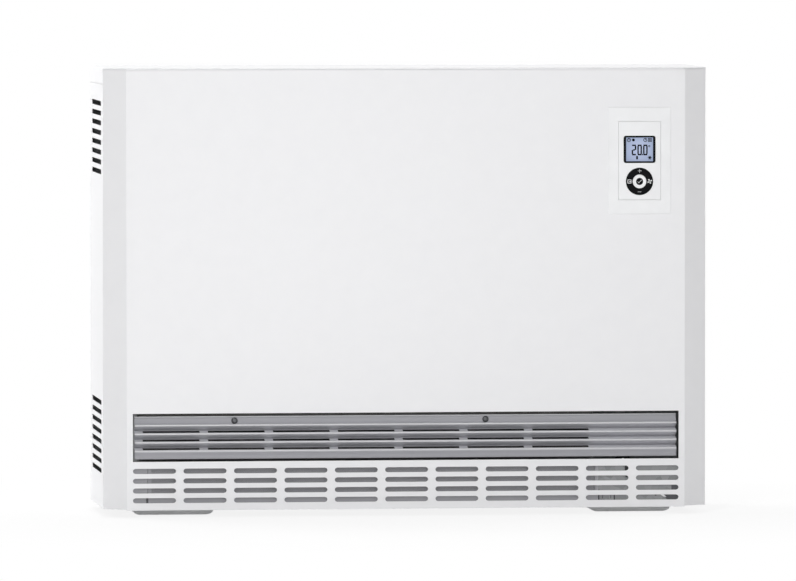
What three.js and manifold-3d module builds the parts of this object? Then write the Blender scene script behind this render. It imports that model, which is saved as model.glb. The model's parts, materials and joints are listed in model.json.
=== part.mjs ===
// A storage heater: a casing of painted sheet steel on two feet, round a core of heavy bricks
// that are heated at night. By day a fan in the bottom blows air up behind the bricks and down
// in front of them, and the warm air leaves through the louvred outlet grille.
//
// Millimetres. X is to the right as seen from the front, Y to the back and Z up. The origin is
// on the floor, below the middle of the heater.

import * as THREE from 'three';
import { mergeVertices } from 'three/addons/utils/BufferGeometryUtils.js';
import Module from 'manifold-3d';

const wasm = await Module();
wasm.setup();

// ---------------------------------------------------------------------------------------------
// Driving dimensions
// ---------------------------------------------------------------------------------------------

// The whole heater
const overallWidth = 880;
const overallHeight = 650;
const overallDepth = 245;
const sheet = 1; // painted casing steel
const seat = 0.3; // clearance where one piece sits on another

// Casing
const groundClearance = 10.6; // floor to the bottom edge of the front panel
const chamferWidth = 32.5;
const chamferDepth = 18;
const sideReturn = 10; // the front panel wraps this far round onto each side
const lidSkirt = 23; // height of the lid's sides and back
const lidHem = 2.2; // height of the lid's front edge
const seam = 1; // open joint between the lid's skirt and the side panel
const bendRise = 1.4; // the chamfers end this much above the front's bottom bend
const frontFlangeTop = 10;
const frontFlangeBottom = 8;
const stiffener = 15; // inward flanges of the side panels
const rearFlange = 20;

// Air slots
const slotHeight = 7.3;
const slotRowPitch = 14.17;
const inletLength = 62.8;
const inletColumns = 11;
const inletRows = 4;
const inletLowestRow = 24.8; // centre of the lowest row above the floor
const sideSlotMargin = 30.25; // before and behind the slots in a side
const sideSlotRows = 8;
const sideSlotsLow = 65.2; // centre of the lowest slot in the lower group
const sideSlotsDrop = 51.6; // centre of the highest slot below the top of the heater

// Outlet window and louvred grille
const windowMargin = 9; // between the window and the chamfer on each side
const windowBottom = 81;
const windowHeight = 69.6;
const grilleSheet = 0.8;
const grilleSetback = 2.5; // lips behind the face of the front panel
const grilleEndGap = 3;
const grilleTopGap = 4.4;
const grilleTopBar = 11.6; // height of the flat bar that takes the screws
const grilleBarDepth = 6; // flat bars behind the lips
const louvrePitch = 12.4;
const louvreCount = 3;
const louvreLip = 2.6;
const lipRound = 0.6;
const lipRim = 2; // sheet left between a lip and the air slots behind it
const valleyRim = 1.6; // sheet left between the air slots and the valley
const hoodDrop = 6.2; // the hood falls this far on its way back to the valley
const louvreDepth = 13;
const grilleBottomSlope = 5;
const grilleBottomBar = 5.4;
const grilleReturn = 9;
const grilleSlotBridge = 12.1; // sheet between two slots
const grilleSlotMargin = 4.2; // between the end slots and the walls of the duct
const grilleSlotCount = 7;
const grilleScrewHead = 9.4;
const grilleScrewRise = 2.4; // height of the domed head
const grilleScrewRim = 0.85; // straight rim of the head
const grilleScrewShank = 3.6;
const grilleScrewLength = 9;
const grilleScrewSpacing = 366.3;
const grilleScrewShift = -8.9; // the screws' middle from the middle of the core

// Feet
const footWidth = 116.5;
const footInset = 105; // from the side of the heater to the middle of a foot
const footSetback = 53; // behind the face of the front panel
const footBackMargin = 12.5; // in front of the heater's back
const footRoundWidth = 13;
const footRoundHeight = 7;

// Base frame
const baseSheet = 2;
const coreFloorHeight = 152; // underside of the core floor above the floor of the room
const cheekHeight = 64; // front cheeks beside the fan
const cheekWidth = 27;
const cheekSetback = 20; // behind the inner face of the front panel
const tongueOverlap = 1; // where the tongue in front joins the base plate

// Core
const leftAirGap = 48.1; // between the left side panel and the core's sleeve
const mainsWidth = 164.1; // between the core's sleeve and the right side panel
const frontAirGap = 28; // between the front panel and the core's sleeve
const lidAirGap = 34.5; // between the core's insulation and the lid
const brickColumns = 3;
const brickLayers = 4;
const airGrooveWidth = 44;
const airGrooveDepth = 11;
const airGroovePitch = 90;
const rodDiameter = 8.5;
const rodSpacing = 76;
const rodBend = 10;
const rodBendReach = 3; // straight stretch between the bricks and the bend
const rodOverhang = 10; // rod beyond the core casing
const bendRoom = 1; // pocket in the left insulation beyond the rod's bend
const studDiameter = 4;
const studLength = 12;
const boardThickness = 25;
const floorThickness = 20;
const innerSheet = 1;

// Fan
const fanDiameter = 50;
const fanSetback = 59; // axis behind the face of the front panel
const fanHeight = 48; // axis above the floor of the room
const shaftDiameter = 8;
const bearingDiameter = 20;
const bearingWidth = 6;
const bladeCount = 12;
const bladeSheet = 0.8;
const bladeReach = 7; // radial depth of the ring of blades
const bladeSweep = -25; // degrees, where the arc of a blade ends
const impellerDisc = 1.2;
const impellerGap = 4; // between an impeller and the bearing at its end
const motorLength = 58;
const motorDiameter = 54;
const motorShift = 8; // the motor's middle from the middle of the core
const motorBoss = 12; // radius of the bosses on its end caps
const motorBossRise = 3;
const motorGap = 6; // between a boss and an impeller
const motorFootWidth = 44;
const motorFootDepth = 20;
const motorFootSink = 9; // the foot reaches this far into the can
const scrollClearance = 6; // between the impeller and the scroll
const scrollStart = 215; // degrees, where the scroll begins in front of the impeller
const tongueGap = 8; // between the impeller and the top of the housing
const tongueDrop = 4; // the front edge of the top bends down
const tongueFront = 13; // front edge of the top behind the fan's axis
const tongueLength = 7;
const riserWidth = 14; // riser behind the core
const riserBend = 24;
const ventStart = 24; // openings to the bypass behind the fan's axis
const ventDepth = 16;

// Lint filter
const filterThickness = 4;
const filterLeftInset = 14.9; // inside the left edge of the core's sleeve
const filterRightReach = 6.1; // beyond the right edge of the core's sleeve
const filterHeight = 63.8;
const filterSetback = 4; // behind the face of the front panel
const filterRail = 15.8;
const filterRim = 5;
const meshThickness = 1;

// Warm air duct and mixing flap
const ductSheet = 1;
const slopeRise = 35.9; // height of the slope at the back of the duct
const slopeRun = 32;
const flapLength = 33;
const flapEndGap = 1.5; // between the flap and the walls of the duct
const flapSheet = 1;
const flapBarrel = 6;
const flapPin = 4;
const bypassBridge = 30; // sheet between two bypass openings
const bypassHeight = 18;
const bypassStart = 13; // below the top of the duct's slope
const bypassCount = 3;
const stripWidth = 12; // bimetal strip
const stripInset = 70; // from the right end of the duct
const stripDrop = 4; // below the top of the duct
const stripFoot = 10; // height of the part that lies on the wall
const stripStep = 5; // the free end stands off the wall
const stripGap = 3; // over the flap's barrel

// Controls
const controlInset = 99.4; // from the right side of the heater to the frame's middle
const controlDrop = 135.4; // from the top of the heater to the frame's middle
const frameProud = 1.5; // the frame stands this far out of the front panel
const frameWidth = 91;
const frameHeight = 154.5;
const frameCorner = 1.2;
const cutoutCorner = 2;
const frameLip = 5.2; // the frame's flange reaches this far over the cut-out
const fasciaWidth = 61.6;
const fasciaHeight = 113.6;
const fasciaRecess = 0.6;
const fasciaThickness = 2.2;
const frameCollar = 5; // depth of the frame's collar behind the panel's face
const displayWidth = 46.4;
const displayHeight = 39;
const displayUp = 16.4; // display's middle above the middle of the fascia
const displayCorner = 3;
const lensThickness = 1.8;
const lensProud = 0.2;
const lcdWidth = 42;
const lcdHeight = 36.6;
const ringDown = 30.2; // key ring's middle below the middle of the fascia
const ringDiameter = 39.1;
const ringBore = 20.8;
const ringGap = 0.5; // round the key ring
const keyDiameter = 20;
const keyThickness = 1.8;
const keyProud = 0.4;
const keyStem = 8;
const stemJoin = 0.5; // the stem runs this far into the key
const keyTravel = 0.6;
const rockGap = 0.6; // under the key ring, for its rocking
const collarWidth = 6.5;
const collarInset = 1.5; // the soft collar's bore is this much wider than the ring's
const collarGap = 0.7; // between the soft collar and the circuit board
const boardSetback = 8; // circuit board behind the face of the front panel
const circuitBoard = 1.6;
const circuitWidth = 60;
const circuitHeight = 112;
const controlBoxDepth = 26;
const controlBoxWall = 1.5;
const postDiameter = 6;
const postInset = 1; // from the edge of the circuit board to a post

// Mains compartment
const serviceGap = 8.6; // between the core's sleeve and the service cover
const serviceInset = 18.5; // between the service cover and the bend of the front panel
const serviceReach = 13; // the cover stands this far in front of the cheeks
const terminalLength = 80;
const terminalDepth = 28;
const terminalHeight = 30;
const terminalStep = 18; // height of the steps for the wires
const terminalRidge = 11.2; // depth of the ridge in the middle
const terminalWell = 8; // size of a screw well along the block
const terminalWellDepth = 3.5; // and across it
const terminalWellFloor = 13.5;
const terminalCount = 6;
const terminalInset = 90; // from the right side of the heater
const terminalBehind = 30; // between the block and the base frame's back
const powerWidth = 100;
const powerHeight = 76;
const powerRise = 10; // above the foot of the core
const standoffLength = 8;
const standoffDiameter = 6;
const standoffInset = 6;
const relaySize = [16, 18, 28]; // out of the board, along it and up
const relayPitch = 24;
const relayCount = 3;
const relayUp = 20; // the relays' middle above the middle of the board
const transformerSize = [24, 32, 26];
const transformerPlace = [-24, -17]; // from the middle of the board
const capacitorDiameter = 14;
const capacitorLength = 22;
const capacitorPlaces = [[12, -18], [30, -18]];
const cutoutDiameter = 18;
const cutoutFlange = 4;
const cutoutNeckDiameter = 14.4;
const cutoutNeck = 6;
const cutoutTab = [8, 1, 6]; // length, thickness and width of a terminal tab
const cutoutTabSpacing = 9;
const cutoutDrop = 29.2; // below the top of the core
const grommetHole = 22;
const grommetFlange = 3; // wider than the hole on each side
const grommetLip = 1;
const grommetWall = 4; // between the hole and the bore
const grommetInset = 90; // from the right side of the heater
const grommetHeight = 60;

// Wall fixing
const keyholeInset = 140; // from the side of the heater
const keyholeDrop = 65; // below the top of the heater
const keyholeDiameter = 11;
const keyholeSlot = 6;
const keyholeRise = 12;

// ---------------------------------------------------------------------------------------------
// Places that follow from them
// ---------------------------------------------------------------------------------------------

const halfWidth = overallWidth / 2;
const rearY = overallDepth / 2;
const frontY = frameProud - overallDepth / 2; // face of the front panel
const frontInnerY = frontY + sheet;
const cornerY = frontY + chamferDepth;
const flatHalf = halfWidth - chamferWidth;
const lidTopInner = overallHeight - sheet;
const seamTop = overallHeight - lidSkirt; // lower edge of the lid's skirt
const sidePanelTop = seamTop - seam;
const frontTop = overallHeight - lidHem - seat;
const baseBottom = groundClearance + sheet + seat;
const baseTop = baseBottom + baseSheet;
const sideFrontY = cornerY + sideReturn + seat;
const sideMiddleY = (cornerY + rearY) / 2;
const sideSlotLength = rearY - cornerY - 2 * sideSlotMargin;
const sideSlotsHigh = overallHeight - sideSlotsDrop - (sideSlotRows - 1) * slotRowPitch;
const windowWidth = overallWidth - 2 * (chamferWidth + windowMargin);
const rearPanelBack = rearY - sheet - seat;
const rearPanelFront = rearPanelBack - sheet;
const insideBack = rearPanelFront - seat; // the core and the base reach back to here
const footFront = frontY + footSetback;
const footBack = rearY - footBackMargin;

const sleeveLeft = -halfWidth + sheet + leftAirGap;
const sleeveRight = halfWidth - sheet - mainsWidth;
const sleeveFront = frontInnerY + frontAirGap;
const coreCentreX = (sleeveLeft + sleeveRight) / 2;
const sleeveOuter = (sleeveRight - sleeveLeft) / 2;
const boardOuter = sleeveOuter - innerSheet - seat;
const boardInner = boardOuter - boardThickness;
const coreHalf = boardInner - seat;
const brickPitch = (2 * coreHalf + seat) / brickColumns;
const brickLength = brickPitch - seat;

const frontBoardY = sleeveFront + innerSheet + seat;
const coreFront = frontBoardY + boardThickness + seat;
const coreBack = insideBack - boardThickness - seat;
const coreMiddleY = (coreFront + coreBack) / 2;
const brickDepth = coreBack - coreFront;

const floorTop = coreFloorHeight + floorThickness;
const coreBottom = floorTop + seat;
const coreLid = lidTopInner - lidAirGap; // top of the upper insulation
const coreTop = coreLid - boardThickness - seat;
const layerPitch = (coreTop - coreBottom + seat) / brickLayers;
const brickHeight = layerPitch - seat;

const fanY = frontY + fanSetback;
const wallLeft = sleeveLeft + baseSheet; // inner faces of the base frame's walls
const wallRight = sleeveRight - baseSheet;
const ductLeft = wallLeft + seat;
const ductRight = wallRight - seat;
const cheekY = frontInnerY + cheekSetback;
const lipsY = frontY + grilleSetback;
const grilleTop = windowBottom + windowHeight - grilleTopGap;
const barY = lipsY + grilleBarDepth;
const barBottom = grilleTop - grilleTopBar;
const valleyY = lipsY + louvreDepth;
const grilleBottom = barBottom - louvreCount * louvrePitch - louvreLip
  - grilleBottomSlope - grilleBottomBar;
const screwZ = barBottom + seat + grilleScrewHead / 2;
const ductTop = coreFloorHeight - seat;
const ductFloor = grilleBottom - seat;
const hangerTop = ductTop - ductSheet - seat; // top of the duct's walls, under its ceiling
const ductHangerY = barY + grilleSheet + seat;
const ductFrontY = valleyY + 3 * grilleSheet + seat; // behind the sharp bends of the valleys
const ductInside = ductRight - ductLeft - 2 * ductSheet;
const grilleSlotPitch =
  (ductInside - 2 * grilleSlotMargin + grilleSlotBridge) / grilleSlotCount;
const grilleSlotLength = grilleSlotPitch - grilleSlotBridge;
const grilleScrewX = [-1, 1].map((side) =>
  coreCentreX + grilleScrewShift + side * grilleScrewSpacing / 2);
const bypassPitch = (ductRight - ductLeft) / bypassCount;
const bypassWidth = bypassPitch - bypassBridge;
const frontChannelBack = coreFront + airGrooveDepth;
const rearChannelFront = coreBack - airGrooveDepth;
const controlX = halfWidth - controlInset;
const controlZ = overallHeight - controlDrop;

// ---------------------------------------------------------------------------------------------
// Finishes
// ---------------------------------------------------------------------------------------------

const finish = (color, roughness, metalness = 0) =>
  new THREE.MeshStandardMaterial({ color, roughness, metalness });

const whitePaint = finish(0xf1f1f2, 0.45);
const greyPaint = finish(0x9c9ca1, 0.4, 0.3);
const galvanised = finish(0x9fa2a4, 0.45, 0.8);
const darkSteel = finish(0x3f4144, 0.4, 0.8);
const footGrey = finish(0xa9abad, 0.6);
const filterGrey = finish(0x7c7d82, 0.8);
const brickBrown = finish(0x5b4a40, 0.95);
const boardWhite = finish(0xd9d4c8, 0.95);
const elementSteel = finish(0x6d665f, 0.5, 0.7);
const whitePlastic = finish(0xf0f1f3, 0.5);
const blackPlastic = finish(0x111214, 0.35);
const keyRubber = finish(0x2b2c2f, 0.8);
const displayGlass = finish(0x0c0d10, 0.1);
const lcdBlue = finish(0xb9c6e6, 0.3);
const circuitGreen = finish(0x1f5a34, 0.6);
const motorSteel = finish(0x8b8d90, 0.4, 0.8);
const bronze = finish(0x8d6a3f, 0.4, 0.8);

// ---------------------------------------------------------------------------------------------
// Solids
// ---------------------------------------------------------------------------------------------

function solid(geometry) {
  const bare = new THREE.BufferGeometry();
  bare.setAttribute('position', geometry.getAttribute('position'));
  bare.setIndex(geometry.getIndex());
  const merged = mergeVertices(bare, 1e-4);
  return new wasm.Manifold(new wasm.Mesh({
    numProp: 3,
    vertProperties: new Float32Array(merged.getAttribute('position').array),
    triVerts: new Uint32Array(merged.getIndex().array),
  }));
}

function part(name, shape, material) {
  const { vertProperties, triVerts } = shape.getMesh();
  const geometry = new THREE.BufferGeometry();
  geometry.setAttribute('position', new THREE.BufferAttribute(vertProperties, 3));
  geometry.setIndex(new THREE.BufferAttribute(triVerts, 1));
  geometry.computeVertexNormals();
  const mesh = new THREE.Mesh(geometry, material);
  mesh.name = name;
  return mesh;
}

const joined = (first, ...others) => others.reduce((body, other) => body.add(other), first);
const cut = (body, ...tools) => tools.reduce((rest, tool) => rest.subtract(tool), body);

// The two limits along each axis may come in either order.
function block(x0, x1, y0, y1, z0, z1) {
  const size = [x1 - x0, y1 - y0, z1 - z0].map(Math.abs);
  const geometry = new THREE.BoxGeometry(...size);
  return solid(geometry.translate((x0 + x1) / 2, (y0 + y1) / 2, (z0 + z1) / 2));
}

// A flat outline pushed along one axis. The outline is drawn in (y, z), (x, z) or (x, y). Each
// arc of an outline becomes twice as many straight runs as there are segments.
const axisX = new THREE.Vector3(1, 0, 0);
const axisY = new THREE.Vector3(0, 1, 0);
const axisZ = new THREE.Vector3(0, 0, 1);

function prism(shape, basis, offset, depth, curveSegments) {
  const geometry = new THREE.ExtrudeGeometry(shape, { depth, curveSegments, bevelEnabled: false });
  geometry.applyMatrix4(new THREE.Matrix4().makeBasis(...basis));
  return solid(geometry.translate(...offset));
}

const alongX = (shape, x0, x1, segments = 2) =>
  prism(shape, [axisY, axisZ, axisX], [Math.min(x0, x1), 0, 0], Math.abs(x1 - x0), segments);
const alongY = (shape, y0, y1, segments = 2) =>
  prism(shape, [axisX, axisZ, axisY.clone().negate()], [0, y1, 0], y1 - y0, segments);
const alongZ = (shape, z0, z1, segments = 2) =>
  prism(shape, [axisX, axisY, axisZ], [0, 0, z0], z1 - z0, segments);

function rodX(radius, x0, x1, y, z, sides = 16) {
  const geometry = new THREE.CylinderGeometry(radius, radius, x1 - x0, sides);
  return solid(geometry.rotateZ(-Math.PI / 2).translate((x0 + x1) / 2, y, z));
}

function rodY(radius, y0, y1, x, z, sides = 24) {
  const geometry = new THREE.CylinderGeometry(radius, radius, y1 - y0, sides);
  return solid(geometry.translate(x, (y0 + y1) / 2, z));
}

// ---------------------------------------------------------------------------------------------
// Outlines
// ---------------------------------------------------------------------------------------------

const polygon = (points) => new THREE.Shape(points.map(([a, b]) => new THREE.Vector2(a, b)));

const rectangle = (a0, a1, b0, b1) => polygon([[a0, b0], [a1, b0], [a1, b1], [a0, b1]]);

// An open path moved to its left, with mitred corners.
function moved(path, distance) {
  const points = path.map(([a, b]) => new THREE.Vector2(a, b));
  const along = points.slice(1).map((point, i) => point.clone().sub(points[i]).normalize());
  const left = along.map(({ x, y }) => new THREE.Vector2(-y, x));
  return points.map((point, i) => {
    const before = left[Math.max(i - 1, 0)];
    const after = left[Math.min(i, left.length - 1)];
    const mitre = before.clone().add(after).normalize();
    return mitre.multiplyScalar(distance / mitre.dot(before)).add(point).toArray();
  });
}

// The section of a bent sheet, which lies to the left of its path.
const bentSheet = (path, thickness) => polygon([...path, ...moved(path, thickness).reverse()]);

// Points of an arc from one angle to another, in degrees, both ends included.
function arc(a, b, radius, from, to, steps) {
  return Array.from({ length: steps + 1 }, (_, i) => {
    const angle = THREE.MathUtils.degToRad(from + (to - from) * i / steps);
    return [a + radius * Math.cos(angle), b + radius * Math.sin(angle)];
  });
}

function turned(points, degrees) {
  const centre = new THREE.Vector2();
  const angle = THREE.MathUtils.degToRad(degrees);
  return points.map(([a, b]) =>
    new THREE.Vector2(a, b).rotateAround(centre, angle).toArray());
}

function roundSlot(a, b, length, height) {
  const radius = height / 2;
  const reach = length / 2 - radius;
  const shape = new THREE.Shape();
  shape.absarc(a + reach, b, radius, -Math.PI / 2, Math.PI / 2);
  shape.absarc(a - reach, b, radius, Math.PI / 2, Math.PI * 1.5);
  return shape;
}

function roundedRectangle(width, height, radius, a = 0, b = 0) {
  const shape = new THREE.Shape();
  const reachA = width / 2 - radius;
  const reachB = height / 2 - radius;
  shape.absarc(a + reachA, b + reachB, radius, 0, Math.PI / 2);
  shape.absarc(a - reachA, b + reachB, radius, Math.PI / 2, Math.PI);
  shape.absarc(a - reachA, b - reachB, radius, Math.PI, Math.PI * 1.5);
  shape.absarc(a + reachA, b - reachB, radius, Math.PI * 1.5, Math.PI * 2);
  return shape;
}

function disc(a, b, radius, bore = 0) {
  const shape = new THREE.Shape();
  shape.absarc(a, b, radius, 0, Math.PI * 2);
  if (bore > 0) {
    const hole = new THREE.Path();
    hole.absarc(a, b, bore, 0, Math.PI * 2);
    shape.holes.push(hole);
  }
  return shape;
}

const centred = (count, pitch) =>
  Array.from({ length: count }, (_, i) => (i - (count - 1) / 2) * pitch);

// ---------------------------------------------------------------------------------------------
// Casing
// ---------------------------------------------------------------------------------------------

const casing = new THREE.Group();

// The outline of the casing's front from one side to the other, seen from above.
const chamferPath = [
  [-halfWidth, cornerY],
  [-flatHalf, frontY],
  [flatHalf, frontY],
  [halfWidth, cornerY],
];

function inletSlots() {
  const pitch = (windowWidth - inletLength) / (inletColumns - 1);
  const slots = [];
  for (const x of centred(inletColumns, pitch)) {
    for (let row = 0; row < inletRows; row += 1) {
      slots.push(roundSlot(x, inletLowestRow + row * slotRowPitch, inletLength, slotHeight));
    }
  }
  return slots;
}

// One sheet bent along the chamfers, with flanges turned back at the top and the bottom.
function frontPanel() {
  const plan = [
    [-halfWidth, cornerY + sideReturn],
    ...chamferPath,
    [halfWidth, cornerY + sideReturn],
  ];
  const corner = halfWidth + sheet;
  const wrap = alongZ(bentSheet(plan, sheet), groundClearance, frontTop);
  const trims = [-1, 1].flatMap((side) => {
    const outside = Math.max(side * flatHalf, side * corner);
    const inside = Math.min(side * flatHalf, side * corner);
    const behind = [inside, outside, cornerY, cornerY + sideReturn + sheet];
    return [
      block(...behind, sidePanelTop, overallHeight),
      block(inside, outside, frontY - sheet, rearY, 0, groundClearance + bendRise),
    ];
  });
  const flanges = [
    block(-flatHalf, flatHalf, frontY, frontY + frontFlangeBottom,
      groundClearance, groundClearance + sheet),
    block(-flatHalf, flatHalf, frontY, frontY + frontFlangeTop, frontTop - sheet, frontTop),
  ];
  const openings = [
    rectangle(-windowWidth / 2, windowWidth / 2, windowBottom, windowBottom + windowHeight),
    roundedRectangle(frameWidth - 2 * frameLip, frameHeight - 2 * frameLip, cutoutCorner,
      controlX, controlZ),
    ...inletSlots(),
  ];
  const cutters = openings.map((shape) =>
    alongY(shape, frontY - sheet, frontInnerY + sheet / 2));
  return cut(joined(cut(wrap, ...trims), ...flanges), ...cutters);
}

// The section of a side panel from the base up to the ledge that carries the lid. It steps
// inwards behind the lid's skirt.
function sidePanel(side) {
  const outer = side * halfWidth;
  const inwards = (distance) => outer - side * distance;
  const ledge = inwards(sheet + seat);
  const path = [
    [outer, baseBottom],
    [outer, sidePanelTop],
    [ledge, sidePanelTop],
    [ledge, lidTopInner - seat],
    [inwards(stiffener), lidTopInner - seat],
  ];
  const flangeTop = sidePanelTop - sheet;
  const wallBack = rearY - sheet - seat;
  const wall = alongY(bentSheet(path, side * sheet), sideFrontY, wallBack);
  const flanges = [
    block(outer, inwards(stiffener), sideFrontY, sideFrontY + sheet, baseBottom, flangeTop),
    block(outer, inwards(sheet), wallBack - sheet, rearY, baseBottom, flangeTop),
    block(outer, inwards(rearFlange), rearY - sheet, rearY, baseBottom, flangeTop),
  ];
  const slots = [sideSlotsLow, sideSlotsHigh].flatMap((lowest) =>
    Array.from({ length: sideSlotRows }, (_, row) => alongX(
      roundSlot(sideMiddleY, lowest + row * slotRowPitch, sideSlotLength, slotHeight),
      inwards(2 * sheet),
      inwards(-sheet),
    )));
  return cut(joined(wall, ...flanges), ...slots);
}

// A tray turned upside down. Its front edge is only a short hem, which closes the gap above
// the front panel.
function topCover() {
  const outline = polygon([...chamferPath, [halfWidth, rearY], [-halfWidth, rearY]]);
  const plate = alongZ(outline, lidTopInner, overallHeight);
  const hem = alongZ(bentSheet(chamferPath, sheet), overallHeight - lidHem, overallHeight);
  const skirts = [
    block(-halfWidth, -halfWidth + sheet, cornerY, rearY, seamTop, overallHeight),
    block(halfWidth - sheet, halfWidth, cornerY, rearY, seamTop, overallHeight),
    block(-halfWidth, halfWidth, rearY - sheet, rearY, seamTop, overallHeight),
  ];
  return joined(plate, hem, ...skirts);
}

function keyhole(x) {
  const z = overallHeight - keyholeDrop;
  const radius = keyholeDiameter / 2;
  const half = keyholeSlot / 2;
  const opening = Math.asin(half / radius);
  const shape = new THREE.Shape();
  shape.absarc(x, z, radius, Math.PI / 2 + opening, Math.PI * 2.5 - opening);
  shape.absarc(x, z + keyholeRise, half, 0, Math.PI);
  return shape;
}

function rearPanel() {
  const edge = halfWidth - sheet - seat;
  const top = sidePanelTop - sheet - seat;
  const plate = block(-edge, edge, rearPanelFront, rearPanelBack, baseBottom, top);
  const topRail = block(-edge + stiffener, edge - stiffener,
    rearPanelBack - stiffener, rearPanelBack, top - sheet, top);
  const cutters = [
    keyhole(keyholeInset - halfWidth),
    keyhole(halfWidth - keyholeInset),
    disc(halfWidth - grommetInset, grommetHeight, grommetHole / 2),
  ].map((shape) => alongY(shape, rearPanelFront - sheet, rearPanelBack + sheet, 6));
  return cut(joined(plate, topRail), ...cutters);
}

// The end view of a foot, shaped like the hull of a boat.
function hull(length, height) {
  const half = length / 2;
  const points = Array.from({ length: 7 }, (_, i) => {
    const angle = (i / 6) * (Math.PI / 2);
    return [
      half - footRoundWidth * (1 - Math.cos(angle)),
      footRoundHeight * (1 - Math.sin(angle)),
    ];
  });
  const mirrored = points.map(([a, b]) => [-a, b]).reverse();
  return polygon([[half, height], ...points, ...mirrored, [-half, height]]);
}

function foot() {
  const height = baseBottom - seat;
  const footLength = footBack - footFront;
  const across = alongY(hull(footWidth, height), -footLength / 2, footLength / 2);
  const lengthwise = alongX(hull(footLength, height), -footWidth / 2, footWidth / 2);
  return across.intersect(lengthwise);
}

function addCasing() {
  casing.add(
    part('front_panel', frontPanel(), whitePaint),
    part('left_side_panel', sidePanel(-1), whitePaint),
    part('right_side_panel', sidePanel(1), whitePaint),
    part('top_cover', topCover(), whitePaint),
    part('rear_panel', rearPanel(), galvanised),
  );
  const oneFoot = foot();
  for (const [name, side] of [['left_foot', -1], ['right_foot', 1]]) {
    const mesh = part(name, oneFoot, footGrey);
    mesh.position.set(side * (halfWidth - footInset), (footFront + footBack) / 2, 0);
    casing.add(mesh);
  }
}

// ---------------------------------------------------------------------------------------------
// Base frame
// ---------------------------------------------------------------------------------------------

// A tray open to the front. Its three walls carry the floor of the core.
function baseFrame() {
  const plateEdge = halfWidth - sheet - seat;
  const plateFront = sideFrontY + sheet + seat;
  const top = coreFloorHeight - seat;
  const cheekTop = baseTop + cheekHeight;
  return joined(
    block(-plateEdge, plateEdge, plateFront, insideBack, baseBottom, baseTop),
    block(-flatHalf, flatHalf, frontInnerY + seat, plateFront + tongueOverlap,
      baseBottom, baseTop),
    block(sleeveLeft, wallLeft, cheekY, insideBack, baseBottom, top),
    block(wallRight, sleeveRight, cheekY, insideBack, baseBottom, top),
    block(sleeveLeft, sleeveRight, insideBack - baseSheet, insideBack, baseBottom, top),
    block(sleeveLeft - cheekWidth, wallLeft, cheekY, cheekY + baseSheet, baseBottom, cheekTop),
    block(wallRight, sleeveRight + cheekWidth, cheekY, cheekY + baseSheet,
      baseBottom, cheekTop),
  );
}

// ---------------------------------------------------------------------------------------------
// Outlet grille
// ---------------------------------------------------------------------------------------------

// The front surface of the grille from top to bottom, in (y, z): a flat bar, then louvres, each
// a rounded lip, a hood that falls back to a valley and a shelf that comes forward again.
const screwSides = 12;

function lipAt(z) {
  return [
    [lipsY + lipRound, z],
    [lipsY, z - lipRound],
    [lipsY, z - louvreLip + lipRound],
    [lipsY + lipRound, z - louvreLip],
  ];
}


function grillePath() {
  const path = [
    [barY, grilleTop],
    [barY, barBottom],
  ];
  for (let i = 0; i < louvreCount; i += 1) {
    const top = barBottom - i * louvrePitch;
    path.push(...lipAt(top), [valleyY, top - louvreLip - hoodDrop]);
  }
  const last = barBottom - louvreCount * louvrePitch;
  const slopeEnd = last - louvreLip - grilleBottomSlope;
  path.push(
    ...lipAt(last),
    [barY, slopeEnd],
    [barY, grilleBottom + lipRound],
    [barY + lipRound, grilleBottom],
    [barY + grilleReturn, grilleBottom],
  );
  return path;
}

// The section of one air slot: it follows the shelf and leaves a rim at the lip and the valley.
function shelfSlot(louvre) {
  const lipTop = barBottom - (louvre + 1) * louvrePitch;
  const rise = louvrePitch - louvreLip - hoodDrop;
  const shelf = (y) => lipTop + rise * (y - lipsY) / louvreDepth;
  const front = lipsY + lipRim;
  const back = valleyY - valleyRim;
  const over = grilleSheet;
  const under = 2 * grilleSheet;
  return polygon([
    [front, shelf(front) - under],
    [back, shelf(back) - under],
    [back, shelf(back) + over],
    [front, shelf(front) + over],
  ]);
}

function outletGrille() {
  const halfLength = windowWidth / 2 - grilleEndGap;
  const profile = alongX(bentSheet(grillePath(), grilleSheet), -halfLength, halfLength);
  const slots = [];
  for (let louvre = 0; louvre < louvreCount; louvre += 1) {
    for (const x of centred(grilleSlotCount, grilleSlotPitch)) {
      const middle = coreCentreX + x;
      slots.push(alongX(
        shelfSlot(louvre), middle - grilleSlotLength / 2, middle + grilleSlotLength / 2));
    }
  }
  return cut(profile, ...slots, ...screwHoles(barY, grilleSheet));
}

// Clearance holes for the two grille screws through a sheet whose front is at y.
function screwHoles(y, thickness) {
  const radius = grilleScrewShank / 2 + seat;
  return grilleScrewX.map((x) =>
    rodY(radius, y - thickness, y + 2 * thickness, x, screwZ, screwSides));
}

// A pan head on a plain shank, turned about its own axis, with the head to the front.
function grilleScrew() {
  const head = grilleScrewHead / 2;
  const shank = grilleScrewShank / 2;
  const domeRise = grilleScrewRise - grilleScrewRim;
  const dome = arc(0, 0, 1, -90, 0, 2).map(([a, b]) =>
    [a * head, b * domeRise - grilleScrewRim]);
  const profile = [
    ...dome,
    [head, 0],
    [shank, 0],
    [shank, grilleScrewLength],
    [0, grilleScrewLength],
  ].map(([radius, depth]) => new THREE.Vector2(radius, depth));
  return solid(new THREE.LatheGeometry(profile, screwSides));
}

// ---------------------------------------------------------------------------------------------
// Warm air duct and mixing flap
// ---------------------------------------------------------------------------------------------

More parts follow.
